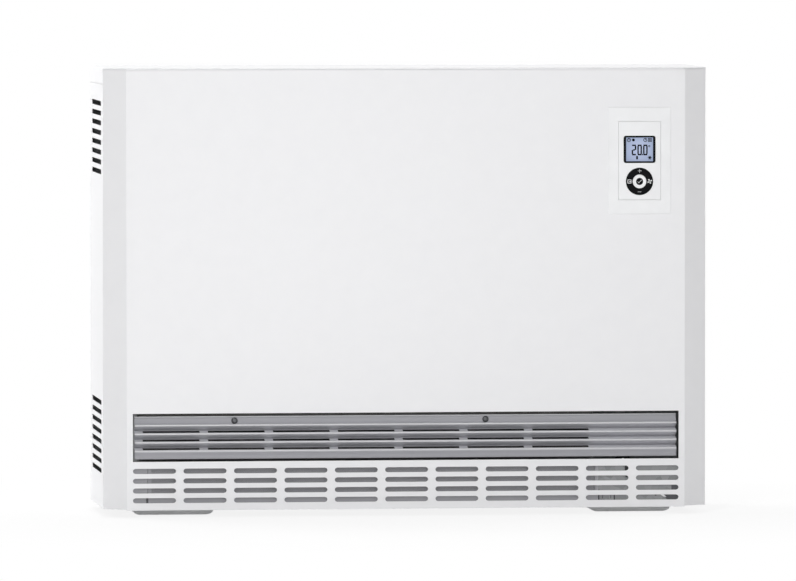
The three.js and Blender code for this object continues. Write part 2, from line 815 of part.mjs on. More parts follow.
const slopeTop = [frontChannelBack, ductFloor + slopeRise];
const slopeFoot = [frontChannelBack - slopeRun, ductFloor];
const slopeLength = Math.hypot(slopeTop[0] - slopeFoot[0], slopeTop[1] - slopeFoot[1]);
const slopeAlong = [
  (slopeFoot[0] - slopeTop[0]) / slopeLength,
  (slopeFoot[1] - slopeTop[1]) / slopeLength,
];
const slopeNormal = [slopeAlong[1], -slopeAlong[0]]; // points into the duct
const flapOffset = flapBarrel / 2 + seat;
const onSlope = (reach, offset) => [
  slopeTop[0] + slopeAlong[0] * reach + slopeNormal[0] * offset,
  slopeTop[1] + slopeAlong[1] * reach + slopeNormal[1] * offset,
];
const flapAxis = onSlope(flapBarrel, flapOffset);

function outletDuct() {
  const back = [
    [barY + grilleSheet + seat, ductFloor],
    slopeFoot,
    slopeTop,
    [frontChannelBack, hangerTop],
  ];
  const middle = ductSheet / 2;
  const endPlate = polygon([
    [ductHangerY + middle, hangerTop],
    [ductHangerY + middle, barBottom + 2 * seat],
    [ductFrontY, barBottom - 2 * louvreLip],
    [ductFrontY, ductFloor - middle],
    ...moved(back, -middle).slice(1, -1),
    [frontChannelBack + middle, hangerTop],
  ]);
  const body = joined(
    alongX(bentSheet(back, -ductSheet), ductLeft, ductRight),
    block(ductLeft, ductRight, ductHangerY, ductHangerY + ductSheet,
      barBottom + seat, hangerTop),
    alongX(endPlate, ductLeft, ductLeft + ductSheet),
    alongX(endPlate, ductRight - ductSheet, ductRight),
  );
  const pinHole = rodX(flapPin / 2 + seat,
    ductLeft - ductSheet, ductRight + ductSheet, ...flapAxis, 12);
  const bypassEnd = bypassStart + bypassHeight;
  const bypass = polygon([
    onSlope(bypassStart, ductSheet),
    onSlope(bypassEnd, ductSheet),
    onSlope(bypassEnd, -2 * ductSheet),
    onSlope(bypassStart, -2 * ductSheet),
  ]);
  const bypasses = centred(bypassCount, bypassPitch).map((x) => alongX(
    bypass,
    coreCentreX + x - bypassWidth / 2,
    coreCentreX + x + bypassWidth / 2,
  ));
  return cut(body, pinHole, ...bypasses, ...screwHoles(ductHangerY, ductSheet));
}

// A long plate on a rolled barrel, with a pin at each end. At rest it lies along the slope and
// covers the bypass openings.
// The plate that closes the duct in front of the core, and that the front board stands on.
function ductCeiling() {
  return block(ductLeft, ductRight, ductHangerY, coreFront, hangerTop + seat, ductTop);
}

function mixingFlap() {
  const start = ductLeft + ductSheet + flapEndGap;
  const end = ductRight - ductSheet - flapEndGap;
  const plate = polygon([
    onSlope(flapBarrel, seat),
    onSlope(flapBarrel + flapLength, seat),
    onSlope(flapBarrel + flapLength, seat + flapSheet),
    onSlope(flapBarrel, seat + flapSheet),
  ]);
  return joined(
    alongX(plate, start, end),
    rodX(flapBarrel / 2, start, end, ...flapAxis, 12),
    rodX(flapPin / 2, ductLeft, ductRight, ...flapAxis, 12),
  );
}

// A strip of two metals on the back wall of the duct. It bends as the air warms.
function bimetalStrip() {
  const wallY = frontChannelBack - seat;
  const top = ductTop - stripDrop;
  const side = bentSheet([
    [wallY, top],
    [wallY, top - stripFoot],
    [wallY - stripStep, top - stripFoot],
    [wallY - stripStep, flapAxis[1] + flapBarrel / 2 + stripGap],
  ], -ductSheet);
  return alongX(side, ductRight - stripInset - stripWidth, ductRight - stripInset);
}

// ---------------------------------------------------------------------------------------------
// Fan
// ---------------------------------------------------------------------------------------------

const fanRadius = fanDiameter / 2;
const housingFloor = fanHeight - fanRadius - scrollClearance;
const housingCeiling = fanHeight + fanRadius + tongueGap;

// The scroll under the impellers leads into the riser behind the core.
function fanHousing() {
  const riserBack = coreBack + ductSheet;
  const riserFront = riserBack - riserWidth;
  const tongueY = fanY + tongueFront;
  const lower = [
    ...arc(fanY, fanHeight, fanRadius + scrollClearance, scrollStart, 270, 4),
    ...arc(riserBack - riserBend, housingFloor + riserBend, riserBend, -90, 0, 4),
    [riserBack, ductTop],
  ];
  const upper = [
    [tongueY, housingCeiling - tongueDrop],
    [tongueY + tongueLength, housingCeiling],
    ...arc(riserFront - riserBend, housingCeiling + riserBend, riserBend, -90, 0, 4),
    [riserFront, ductTop],
  ];
  const middle = ductSheet / 2;
  const endFront = cheekY + ductSheet;
  const endTop = ductFloor - 2 * ductSheet;
  const endPlate = polygon([
    [endFront, baseTop + seat],
    [riserBack + middle, baseTop + seat],
    [riserBack + middle, ductTop],
    ...moved(upper, middle).reverse(),
    [tongueY - middle, endTop],
    [endFront, endTop],
  ]);
  const body = joined(
    alongX(bentSheet(lower, -ductSheet), ductLeft, ductRight),
    alongX(bentSheet(upper, ductSheet), ductLeft, ductRight),
    alongX(endPlate, ductLeft, ductLeft + ductSheet),
    alongX(endPlate, ductRight - ductSheet, ductRight),
  );
  const bearingHole = rodX(bearingDiameter / 2 + seat,
    ductLeft - ductSheet, ductRight + ductSheet, fanY, fanHeight);
  const vents = centred(bypassCount, bypassPitch).map((x) => block(
    coreCentreX + x - bypassWidth / 2, coreCentreX + x + bypassWidth / 2,
    fanY + ventStart, fanY + ventStart + ventDepth,
    housingCeiling - ductSheet, housingCeiling + 2 * ductSheet,
  ));
  return cut(body, bearingHole, ...vents);
}

const bearingLeft = ductLeft;
const bearingRight = ductRight - bearingWidth;

function bearing() {
  const outline = disc(0, 0, bearingDiameter / 2, shaftDiameter / 2 + seat);
  return alongX(outline, 0, bearingWidth, 8);
}

// Curved blades between thin discs: the air crosses the ring of blades twice.
function impeller(length) {
  const outline = disc(0, 0, fanRadius, shaftDiameter / 2 + seat);
  const blade = arc(fanRadius - bladeReach, bladeReach, bladeReach, -90, bladeSweep, 2);
  const positions = [0, (length - impellerDisc) / 2, length - impellerDisc];
  let body = joined(...positions.map((x) => alongX(outline, x, x + impellerDisc, 9)));
  for (let i = 0; i < bladeCount; i += 1) {
    const section = bentSheet(turned(blade, i * 360 / bladeCount), bladeSheet);
    body = body.add(alongX(section, impellerDisc / 2, length - impellerDisc / 2));
  }
  return body;
}

function fanMotor() {
  const half = motorLength / 2;
  const bossEnd = half + motorBossRise;
  const radius = motorDiameter / 2;
  const can = joined(
    rodX(radius, -half, half, 0, 0, 20),
    rodX(motorBoss, -bossEnd, bossEnd, 0, 0),
    block(-motorFootWidth / 2, motorFootWidth / 2, 0, motorFootDepth,
      housingFloor + seat - fanHeight, motorFootSink - radius),
  );
  return can.subtract(
    rodX(shaftDiameter / 2 + seat, -bossEnd - sheet, bossEnd + sheet, 0, 0));
}

function addFan(group) {
  const air = new THREE.Group();
  air.position.set(0, fanY, fanHeight);
  const motorX = coreCentreX + motorShift;
  const motorReach = motorLength / 2 + motorBossRise + motorGap;
  const leftStart = bearingLeft + bearingWidth + impellerGap;
  const leftEnd = motorX - motorReach;
  const rightStart = motorX + motorReach;
  const rightEnd = bearingRight - impellerGap;
  const shaft = rodX(shaftDiameter / 2, bearingLeft, bearingRight + bearingWidth, 0, 0);
  const pieces = [
    ['impeller_left', impeller(leftEnd - leftStart), blackPlastic, leftStart],
    ['impeller_right', impeller(rightEnd - rightStart), blackPlastic, rightStart],
    ['fan_motor', fanMotor(), motorSteel, motorX],
    ['bearing_left', bearing(), bronze, bearingLeft],
    ['bearing_right', bearing(), bronze, bearingRight],
    ['fan_shaft', shaft, darkSteel, 0],
  ];
  for (const [name, shape, material, x] of pieces) {
    const mesh = part(name, shape, material);
    mesh.position.x = x;
    air.add(mesh);
  }
  group.add(air);
}

// ---------------------------------------------------------------------------------------------
// Lint filter
// ---------------------------------------------------------------------------------------------

const filterBottom = baseTop + seat;
const filterTop = filterBottom + filterHeight;
const filterFront = frontY + filterSetback;
const filterLeft = sleeveLeft + filterLeftInset;
const filterRight = sleeveRight + filterRightReach;
const meshBox = [
  filterLeft + filterRim, filterRight - filterRim,
  filterBottom + filterRail, filterTop - filterRim,
];

function filterFrame() {
  const outline = rectangle(filterLeft, filterRight, filterBottom, filterTop);
  outline.holes.push(rectangle(...meshBox));
  return alongY(outline, filterFront, filterFront + filterThickness);
}

function filterMesh() {
  const middle = filterFront + filterThickness / 2;
  const [x0, x1, z0, z1] = meshBox;
  return block(x0 + seat, x1 - seat, middle - meshThickness / 2, middle + meshThickness / 2,
    z0 + seat, z1 - seat);
}

function addAirPath() {
  const airPath = new THREE.Group();
  airPath.add(
    part('base_frame', baseFrame(), galvanised),
    part('outlet_grille', outletGrille(), greyPaint),
    part('outlet_duct', outletDuct(), galvanised),
    part('duct_ceiling', ductCeiling(), galvanised),
    part('mixing_flap', mixingFlap(), galvanised),
    part('bimetal_strip', bimetalStrip(), bronze),
    part('fan_housing', fanHousing(), galvanised),
    part('lint_filter_frame', filterFrame(), filterGrey),
    part('lint_filter_mesh', filterMesh(), filterGrey),
  );
  const screw = grilleScrew();
  ['grille_screw_left', 'grille_screw_right'].forEach((name, i) => {
    const mesh = part(name, screw, darkSteel);
    mesh.position.set(grilleScrewX[i], barY - seat, screwZ);
    airPath.add(mesh);
  });
  addFan(airPath);
  return airPath;
}

// ---------------------------------------------------------------------------------------------
// Core
// ---------------------------------------------------------------------------------------------

const rodSides = 8;

// A brick with grooves for the air up its front and back, and half grooves along its top and
// bottom for the heating rods.
function brick() {
  const half = brickLength / 2;
  const deep = brickDepth / 2;
  const notch = (x, y, side) => [
    [x - side * airGrooveWidth / 2, y],
    [x - side * airGrooveWidth / 2, y - side * airGrooveDepth],
    [x + side * airGrooveWidth / 2, y - side * airGrooveDepth],
    [x + side * airGrooveWidth / 2, y],
  ];
  const outline = polygon([
    [-half, -deep],
    ...notch(-airGroovePitch / 2, -deep, -1).reverse(),
    ...notch(airGroovePitch / 2, -deep, -1).reverse(),
    [half, -deep],
    [half, deep],
    ...notch(airGroovePitch / 2, deep, 1).reverse(),
    ...notch(-airGroovePitch / 2, deep, 1).reverse(),
    [-half, deep],
  ]);
  const radius = rodDiameter / 2 + seat;
  const grooves = [-1, 1].flatMap((side) => [-1, 1].map((face) => rodX(
    radius, -half - seat, half + seat,
    side * rodSpacing / 2, face * layerPitch / 2, rodSides,
  )));
  return cut(alongZ(outline, -brickHeight / 2, brickHeight / 2), ...grooves);
}

// A hairpin of round rod: out through the bricks, across behind a bend, and back. Both ends
// are turned down to studs.
function heatingElement() {
  const sides = rodSides;
  const radius = rodDiameter / 2;
  const stud = studDiameter / 2;
  const half = rodSpacing / 2;
  const end = sleeveOuter + rodOverhang;
  const bendX = -coreHalf - rodBendReach;
  const leg = [
    [end + studLength, half, 0, stud],
    [end, half, 0, stud],
    [end, half, 0, radius],
    ...arc(bendX, half - rodBend, rodBend, 90, 180, 4).map(([x, y], i) =>
      [x, y, 22.5 * i, radius]),
  ];
  const back = leg.map(([x, y, turn, size]) => [x, -y, 180 - turn, size]).reverse();
  const rings = [...leg, ...back];
  const positions = [];
  for (const [x, y, turn, size] of rings) {
    const across = THREE.MathUtils.degToRad(90 + turn);
    for (let i = 0; i < sides; i += 1) {
      const angle = i / sides * Math.PI * 2;
      const reach = Math.cos(angle) * size;
      positions.push(
        x + Math.cos(across) * reach, y + Math.sin(across) * reach, Math.sin(angle) * size);
    }
  }
  const triangles = [];
  const ring = (index, i) => index * sides + (i % sides);
  for (let index = 0; index < rings.length - 1; index += 1) {
    for (let i = 0; i < sides; i += 1) {
      const [a, b] = [ring(index, i), ring(index, i + 1)];
      const [c, d] = [ring(index + 1, i), ring(index + 1, i + 1)];
      triangles.push(a, c, b, b, c, d);
    }
  }
  for (let i = 1; i < sides - 1; i += 1) {
    triangles.push(0, i, i + 1);
    const last = (rings.length - 1) * sides;
    triangles.push(last, last + i + 1, last + i);
  }
  const geometry = new THREE.BufferGeometry();
  geometry.setAttribute('position', new THREE.Float32BufferAttribute(positions, 3));
  geometry.setIndex(triangles);
  return solid(geometry);
}

const rodLevels = Array.from({ length: brickLayers - 1 }, (_, i) =>
  coreBottom + (i + 1) * layerPitch - seat / 2);

// The slab under the bricks. The air passes behind it and in front of it.
function coreFloor() {
  return block(coreCentreX - boardOuter, coreCentreX + boardOuter,
    frontChannelBack, rearChannelFront, coreFloorHeight, floorTop);
}

function sideBoard(side) {
  const inner = coreCentreX + side * boardInner;
  const outer = coreCentreX + side * boardOuter;
  const board = block(Math.min(inner, outer), Math.max(inner, outer),
    coreFront, coreBack, coreBottom, coreTop);
  const reach = rodDiameter / 2 + seat;
  if (side < 0) {
    const pocket = rodBendReach + rodBend + reach + bendRoom;
    const halfWide = rodSpacing / 2 + reach;
    return cut(board, ...rodLevels.map((z) => block(
      inner - pocket, inner + seat, coreMiddleY - halfWide, coreMiddleY + halfWide,
      z - reach, z + reach,
    )));
  }
  return cut(board, ...rodHoles(inner - seat, outer + seat));
}

function rodHoles(x0, x1) {
  const radius = rodDiameter / 2 + seat;
  return rodLevels.flatMap((z) => [-1, 1].map((side) =>
    rodX(radius, x0, x1, coreMiddleY + side * rodSpacing / 2, z, rodSides)));
}

// The sheet sleeve that holds the insulation in place on three sides.
function coreSleeve() {
  const plan = [
    [sleeveLeft, insideBack],
    [sleeveLeft, sleeveFront],
    [sleeveRight, sleeveFront],
    [sleeveRight, insideBack],
  ];
  const wall = alongZ(bentSheet(plan, innerSheet), coreFloorHeight, coreLid);
  return cut(wall, ...rodHoles(sleeveRight - 2 * innerSheet, sleeveRight + innerSheet));
}

function insulation() {
  const left = coreCentreX - boardOuter;
  const right = coreCentreX + boardOuter;
  const slabs = {
    insulation_rear: block(
      left, right, coreBack + seat, insideBack, coreFloorHeight, coreTop),
    insulation_front: block(
      left, right, frontBoardY, coreFront - seat, coreFloorHeight, coreTop),
    insulation_top: block(left, right, frontBoardY, insideBack, coreTop + seat, coreLid),
    insulation_left: sideBoard(-1),
    insulation_right: sideBoard(1),
  };
  return Object.entries(slabs).map(([name, shape]) => part(name, shape, boardWhite));
}

function addCore() {
  const core = new THREE.Group();
  core.add(
    part('core_floor', coreFloor(), boardWhite),
    part('core_sleeve', coreSleeve(), galvanised),
    ...insulation(),
  );
  const oneBrick = brick();
  for (let layer = 0; layer < brickLayers; layer += 1) {
    centred(brickColumns, brickPitch).forEach((x, column) => {
      const name = `brick_layer_${layer + 1}_column_${column + 1}`;
      const mesh = part(name, oneBrick, brickBrown);
      const z = coreBottom + layer * layerPitch + brickHeight / 2;
      mesh.position.set(coreCentreX + x, coreMiddleY, z);
      core.add(mesh);
    });
  }
  const element = heatingElement();
  rodLevels.forEach((z, i) => {
    const mesh = part(`heating_element_${i + 1}`, element, elementSteel);
    mesh.position.set(coreCentreX, coreMiddleY, z);
    core.add(mesh);
  });
  return core;
}

// ---------------------------------------------------------------------------------------------
// Controls, drawn about the middle of their frame, with y = 0 on the face of the front panel
// ---------------------------------------------------------------------------------------------

const collarHalfWidth = frameWidth / 2 - frameLip - seat;
const collarHalfHeight = frameHeight / 2 - frameLip - seat;
const fasciaFace = -frameProud + fasciaRecess;
const keyFace = fasciaFace - keyProud;
const keyBack = keyFace + keyThickness;
const ringRadius = ringDiameter / 2;

// A flange on the panel's face and a collar through its cut-out.
function controlFrame() {
  const opening = rectangle(
    -fasciaWidth / 2 - seat, fasciaWidth / 2 + seat,
    -fasciaHeight / 2 - seat, fasciaHeight / 2 + seat);
  const flange = roundedRectangle(frameWidth, frameHeight, frameCorner);
  const collar = roundedRectangle(
    2 * collarHalfWidth, 2 * collarHalfHeight, cutoutCorner - seat);
  return joined(
    alongY(flange, -frameProud, -seat),
    alongY(collar, -2 * seat, frameCollar),
  ).subtract(alongY(opening, -2 * frameProud, frameCollar + frameProud));
}

function controlFascia() {
  const plate = alongY(
    rectangle(-fasciaWidth / 2, fasciaWidth / 2, -fasciaHeight / 2, fasciaHeight / 2),
    fasciaFace, fasciaFace + fasciaThickness);
  const through = [fasciaFace - fasciaThickness, fasciaFace + 2 * fasciaThickness];
  const display = roundedRectangle(displayWidth + 2 * seat, displayHeight + 2 * seat,
    displayCorner + seat, 0, displayUp);
  const hole = disc(0, -ringDown, ringRadius + ringGap);
  return cut(plate, alongY(display, ...through), alongY(hole, ...through, 18));
}

function displayLens() {
  const outline = roundedRectangle(displayWidth, displayHeight, displayCorner, 0, displayUp);
  return alongY(outline, fasciaFace - lensProud, fasciaFace - lensProud + lensThickness);
}

function lcdPanel() {
  const front = fasciaFace - lensProud + lensThickness + seat;
  return block(-lcdWidth / 2, lcdWidth / 2, front, boardSetback - seat,
    displayUp - lcdHeight / 2, displayUp + lcdHeight / 2);
}

function controlBoard() {
  return block(-circuitWidth / 2, circuitWidth / 2, boardSetback, boardSetback + circuitBoard,
    -circuitHeight / 2, circuitHeight / 2);
}

// An open tray behind the panel, with four posts for the circuit board.
function controlBox() {
  const outerX = collarHalfWidth + controlBoxWall + seat;
  const outerZ = collarHalfHeight + controlBoxWall + seat;
  const front = sheet + seat;
  const back = controlBoxDepth;
  const tray = alongY(rectangle(-outerX, outerX, -outerZ, outerZ), front, back);
  const room = block(
    -outerX + controlBoxWall, outerX - controlBoxWall, front - sheet, back - controlBoxWall,
    -outerZ + controlBoxWall, outerZ - controlBoxWall);
  const inset = postDiameter / 2 + postInset;
  const posts = [-1, 1].flatMap((x) => [-1, 1].map((z) => rodY(
    postDiameter / 2, boardSetback + circuitBoard + seat, back - controlBoxWall / 2,
    x * (circuitWidth / 2 - inset), z * (circuitHeight / 2 - inset), 12,
  )));
  return joined(cut(tray, room), ...posts);
}

function keyRing() {
  return alongY(disc(0, 0, ringRadius, ringBore / 2), keyFace, keyBack, 18);
}

// The soft collar under the key ring, on which it rocks.
function ringCollar() {
  const inner = ringBore / 2 + collarInset;
  const outline = disc(0, 0, inner + collarWidth, inner);
  return alongY(outline, keyBack + rockGap, boardSetback - collarGap, 12);
}

function okKey() {
  const gapAtRest = keyTravel + seat;
  return joined(
    rodY(keyDiameter / 2, keyFace, keyBack, 0, 0, 32),
    rodY(keyStem / 2, keyBack - stemJoin, boardSetback - gapAtRest, 0, 0, 16),
  );
}

function addControls() {
  const controls = new THREE.Group();
  controls.position.set(controlX, frontY, controlZ);
  controls.add(
    part('control_frame', controlFrame(), whitePlastic),
    part('control_fascia', controlFascia(), whitePlastic),
    part('display_lens', displayLens(), displayGlass),
    part('lcd_panel', lcdPanel(), lcdBlue),
    part('control_board', controlBoard(), circuitGreen),
    part('control_box', controlBox(), whitePlastic),
  );
  const keys = new THREE.Group();
  keys.position.z = -ringDown;
  keys.add(
    part('nav_ring_key', keyRing(), blackPlastic),
    part('ring_collar', ringCollar(), keyRubber),
    part('ok_key', okKey(), whitePlastic),
  );
  controls.add(keys);
  return controls;
}

// ---------------------------------------------------------------------------------------------
// Mains compartment, to the right of the core
// ---------------------------------------------------------------------------------------------

// The cover in front of the mains compartment, behind the last columns of air slots.
function serviceCover() {
  const left = sleeveRight + serviceGap;
  const right = flatHalf - serviceInset;
  const front = cheekY - serviceReach;
  const plan = [
    [left, cheekY - seat],
    [left, front],
    [right, front],
    [right, cheekY - seat],
  ];
  return alongZ(bentSheet(plan, sheet), baseTop + seat, baseTop + cheekHeight);
}

// A moulded block with a step for the wires on each side of a ridge, and a screw well over
// each terminal.
function terminalBlock() {
  const half = terminalDepth / 2;
  const ridge = terminalRidge / 2;
  const section = polygon([
    [-half, 0],
    [half, 0],
    [half, terminalStep],
    [ridge, terminalStep],
    [ridge, terminalHeight],
    [-ridge, terminalHeight],
    [-ridge, terminalStep],
    [-half, terminalStep],
  ]);
  const body = alongX(section, -terminalLength / 2, terminalLength / 2);
  const wells = centred(terminalCount, terminalLength / terminalCount).map((x) => block(
    x - terminalWell / 2, x + terminalWell / 2, -terminalWellDepth / 2, terminalWellDepth / 2,
    terminalWellFloor, terminalHeight + sheet));
  return cut(body, ...wells);
}

// A circuit board on stand-offs, with relays, a transformer and two capacitors.
function powerBoard() {
  const back = standoffLength;
  const face = standoffLength + circuitBoard;
  const halfWidthY = powerWidth / 2;
  const halfHeightZ = powerHeight / 2;
  const onBoard = ([out, along, up], y, z) =>
    block(back + circuitBoard / 2, face + out, y - along / 2, y + along / 2,
      z - up / 2, z + up / 2);
  const capacitors = capacitorPlaces.map(([y, z]) => rodX(
    capacitorDiameter / 2, back + circuitBoard / 2, face + capacitorLength, y, z, 10));
  const standoffs = [-1, 1].flatMap((y) => [-1, 1].map((z) => rodX(
    standoffDiameter / 2, 0, back + circuitBoard / 2,
    y * (halfWidthY - standoffInset), z * (halfHeightZ - standoffInset), 8)));
  return joined(
    block(back, face, -halfWidthY, halfWidthY, -halfHeightZ, halfHeightZ),
    ...centred(relayCount, relayPitch).map((y) => onBoard(relaySize, y, relayUp)),
    onBoard(transformerSize, ...transformerPlace),
    ...capacitors,
    ...standoffs,
  );
}

// A thermostat that cuts the current if the core gets too hot: a flange on the sleeve, a neck
// and two tabs for the wires.
function safetyCutout() {
  const neckEnd = cutoutFlange + cutoutNeck;
  const [tabLength, tabThickness, tabWidth] = cutoutTab;
  const tabs = [-1, 1].map((side) => {
    const y = side * cutoutTabSpacing / 2;
    return block(neckEnd - tabThickness / 2, neckEnd + tabLength,
      y - tabThickness / 2, y + tabThickness / 2, -tabWidth / 2, tabWidth / 2);
  });
  return joined(
    rodX(cutoutDiameter / 2, 0, cutoutFlange, 0, 0, 20),
    rodX(cutoutNeckDiameter / 2, cutoutFlange / 2, neckEnd, 0, 0, 20),
    ...tabs,
  );
}

// A ring with a groove that the edge of the rear panel's hole sits in.
function cableGrommet() {
  const neck = grommetHole / 2 - seat;
  const flange = grommetHole / 2 + grommetFlange;
  const bore = grommetHole / 2 - grommetWall;
  const groove = sheet / 2 + seat;
  const lip = groove + grommetLip;
  const profile = [
    [bore, -lip], [flange, -lip], [flange, -groove], [neck, -groove],
    [neck, groove], [flange, groove], [flange, lip], [bore, lip], [bore, -lip],
  ].map(([radius, depth]) => new THREE.Vector2(radius, depth));
  return solid(new THREE.LatheGeometry(profile, 12));
}

function addElectrics() {
  const electrics = new THREE.Group();
  const onSleeve = sleeveRight + seat;
  const terminalY = insideBack - baseSheet - terminalBehind - terminalDepth / 2;
  const placed = [
    ['terminal_block', terminalBlock(), blackPlastic,
      [halfWidth - terminalInset, terminalY, baseTop + seat]],
    ['power_board', powerBoard(), circuitGreen,
      [onSleeve, coreMiddleY, coreBottom + powerRise + powerHeight / 2]],
    ['safety_cutout', safetyCutout(), blackPlastic,
      [onSleeve, coreMiddleY, coreTop - cutoutDrop]],
    ['cable_grommet', cableGrommet(), keyRubber,
      [halfWidth - grommetInset, (rearPanelFront + rearPanelBack) / 2, grommetHeight]],
  ];
  for (const [name, shape, material, position] of placed) {
    const mesh = part(name, shape, material);
    mesh.position.set(...position);
    electrics.add(mesh);
  }
  electrics.add(part('service_cover', serviceCover(), galvanised));
  return electrics;
}

// ---------------------------------------------------------------------------------------------
// The heater
// ---------------------------------------------------------------------------------------------

addCasing();

const heater = new THREE.Group();
heater.name = 'storage_heater';
heater.add(casing, addAirPath(), addCore(), addControls(), addElectrics());

export default heater;
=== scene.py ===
# %% [markdown]
# # A storage heater
# A night storage heater is a cabinet of painted sheet steel that stands on two feet. Bricks
# inside it are heated at night, and by day a fan blows room air past them and out through the
# grey louvred grille. Its solids come packed from CAD, in the place and size that they have on
# the real heater, so this lesson adds what CAD leaves out: the finish of each surface, the
# small roundings that catch light, the markings of the controls, the light and the camera.

import json
import math

import bmesh
import bpy
from mathutils import Matrix, Vector

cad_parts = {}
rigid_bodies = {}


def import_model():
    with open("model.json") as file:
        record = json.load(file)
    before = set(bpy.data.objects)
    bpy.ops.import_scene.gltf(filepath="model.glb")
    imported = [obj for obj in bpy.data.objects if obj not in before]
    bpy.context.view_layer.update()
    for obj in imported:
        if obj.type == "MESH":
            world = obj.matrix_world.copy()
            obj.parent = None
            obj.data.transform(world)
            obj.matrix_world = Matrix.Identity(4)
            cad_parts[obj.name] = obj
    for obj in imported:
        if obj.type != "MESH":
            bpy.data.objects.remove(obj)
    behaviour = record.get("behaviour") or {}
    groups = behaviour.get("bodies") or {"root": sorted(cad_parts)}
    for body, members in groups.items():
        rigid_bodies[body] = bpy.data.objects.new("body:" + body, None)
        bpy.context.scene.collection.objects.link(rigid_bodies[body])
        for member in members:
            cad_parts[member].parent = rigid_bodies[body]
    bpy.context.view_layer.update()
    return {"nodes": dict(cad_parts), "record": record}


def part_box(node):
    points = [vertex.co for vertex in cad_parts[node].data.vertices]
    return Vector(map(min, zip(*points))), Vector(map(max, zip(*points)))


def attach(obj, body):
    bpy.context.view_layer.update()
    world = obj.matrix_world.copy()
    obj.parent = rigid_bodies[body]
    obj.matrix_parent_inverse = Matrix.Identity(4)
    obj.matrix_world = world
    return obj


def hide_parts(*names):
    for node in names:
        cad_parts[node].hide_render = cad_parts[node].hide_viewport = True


for leftover in list(bpy.data.objects):  # Blender's own start-up cube, lamp and camera
    bpy.data.objects.remove(leftover)
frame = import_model()
MM = 0.001  # the CAD model is drawn in millimetres, and Blender works in metres

# %% [markdown]
# ## The camera
# The photograph was taken from far away with a long lens: the heater's edges stay almost
# parallel. A camera could be placed by eye, but a few numbers fix it better: how far round the
# heater it stands, how high, how far away, the point of the front that it looks at, and the
# focal length of its lens.

# %% Place the camera
AZIMUTH = math.radians(6.502)
ELEVATION = math.radians(2.4298)
DISTANCE = 13.3069
AIM = Vector((-12.589, -121.0, 327.436)) * MM
SENSOR_WIDTH, FOCAL_LENGTH = 36.0, 415.2
sight = Vector((math.sin(AZIMUTH) * math.cos(ELEVATION),
                math.cos(AZIMUTH) * math.cos(ELEVATION), -math.sin(ELEVATION)))
lens = bpy.data.cameras.new("long_lens")
lens.sensor_width = SENSOR_WIDTH
lens.lens = FOCAL_LENGTH
lens.clip_end = 100.0
camera = bpy.data.objects.new("camera", lens)
camera.location = AIM - sight * DISTANCE
camera.rotation_mode = "QUATERNION"
camera.rotation_quaternion = sight.to_track_quat("-Z", "Y")
bpy.context.scene.collection.objects.link(camera)
bpy.context.scene.camera = camera
print("camera at", camera.location)

# %% [markdown]
# ## Sums on nodes
# A material's pattern is arithmetic on positions: a noise here, times a little, plus a colour.
# Nodes can be placed one at a time, but then ten lines say what one sum says. This small class
# wraps a node's output, so that `0.4 + 0.1 * speckle` adds the Math nodes by itself. Colours
# don't go through it, because a Math node would turn them grey: they have a Mix node.


# %% A wire that can be used in sums
class Wire:
    """An output of a node, which adds Math nodes when it is used in a sum."""

    def __init__(self, tree, socket=None):
        self.tree = tree
        self.socket = socket

    def node(self, kind, settings=None, sockets=None, output=0):
        """Adds a node, sets its settings, then its sockets, and gives one of its outputs."""
        made = self.tree.nodes.new(kind)
        for name, value in (settings or {}).items():
            if name == "stops":
                fill_ramp(made.color_ramp, value)
            else:
                setattr(made, name, value)
        for name, value in (sockets or {}).items():
            if isinstance(value, Wire):
                self.tree.links.new(value.socket, made.inputs[name])
            else:
                made.inputs[name].default_value = value
        return Wire(self.tree, made.outputs[output] if made.outputs else None)

    def sum(self, operation, first, second):
        """One Math node on two values or wires."""
        return self.node("ShaderNodeMath", {"operation": operation}, {0: first, 1: second})

    def __add__(self, other):
        return self.sum("ADD", self, other)

    def __mul__(self, other):
        return self.sum("MULTIPLY", self, other)

    __radd__ = __add__
    __rmul__ = __mul__


def fill_ramp(ramp, stops):
    """Gives a colour ramp its stops, each a place from 0 to 1 and a colour."""
    while len(ramp.elements) < len(stops):
        ramp.elements.new(0.5)
    for element, (place, colour) in zip(ramp.elements, stops):
        element.position = place
        element.color = (*colour, 1.0)


# %% [markdown]
# ## Patterns that several finishes share
# Most surfaces vary in the same few ways: a cloud of noise, a fine grain that shows as bump,
# cells with an edge, and two shades of one colour. All of them read Object coordinates, which
# are metres on this heater, so a scale of 1000 means grains of about a millimetre.

# %% Noise, cells, bump and shades
MIX_FACTOR, MIX_FIRST, MIX_SECOND, MIX_RESULT = 0, 6, 7, 2  # a Mix node's sockets for colours


def along_axis(place, axis):
    """One of the three parts of a vector."""
    return place.node("ShaderNodeSeparateXYZ", {}, {"Vector": place}, axis)


def noise(place, scale, detail=2.0, stretch=None):
    """A cloud from 0 to 1 with about this many lumps to the metre."""
    if stretch:
        place = place.node("ShaderNodeMapping", {}, {"Vector": place, "Scale": stretch})
    return place.node("ShaderNodeTexNoise", {},
                      {"Vector": place, "Scale": scale, "Detail": detail})


def cells(place, scale, output="Distance"):
    return place.node("ShaderNodeTexVoronoi", {}, {"Vector": place, "Scale": scale}, output)


def bump(height, depth_mm, strength):
    """Makes the normal follow a height, whose full step is this deep."""
    return height.node("ShaderNodeBump", {},
                       {"Height": height, "Distance": depth_mm * MM, "Strength": strength})


def shades(factor, first, second):
    """A colour between two, given as numbers or wires, by a factor from 0 to 1."""
    first, second = (colour if isinstance(colour, Wire) else (*colour, 1.0)
                     for colour in (first, second))
    return factor.node("ShaderNodeMix", {"data_type": "RGBA"},
                       {MIX_FACTOR: factor, MIX_FIRST: first, MIX_SECOND: second}, MIX_RESULT)


def ramp(factor, *stops):
    return factor.node("ShaderNodeValToRGB", {"stops": stops}, {"Fac": factor})


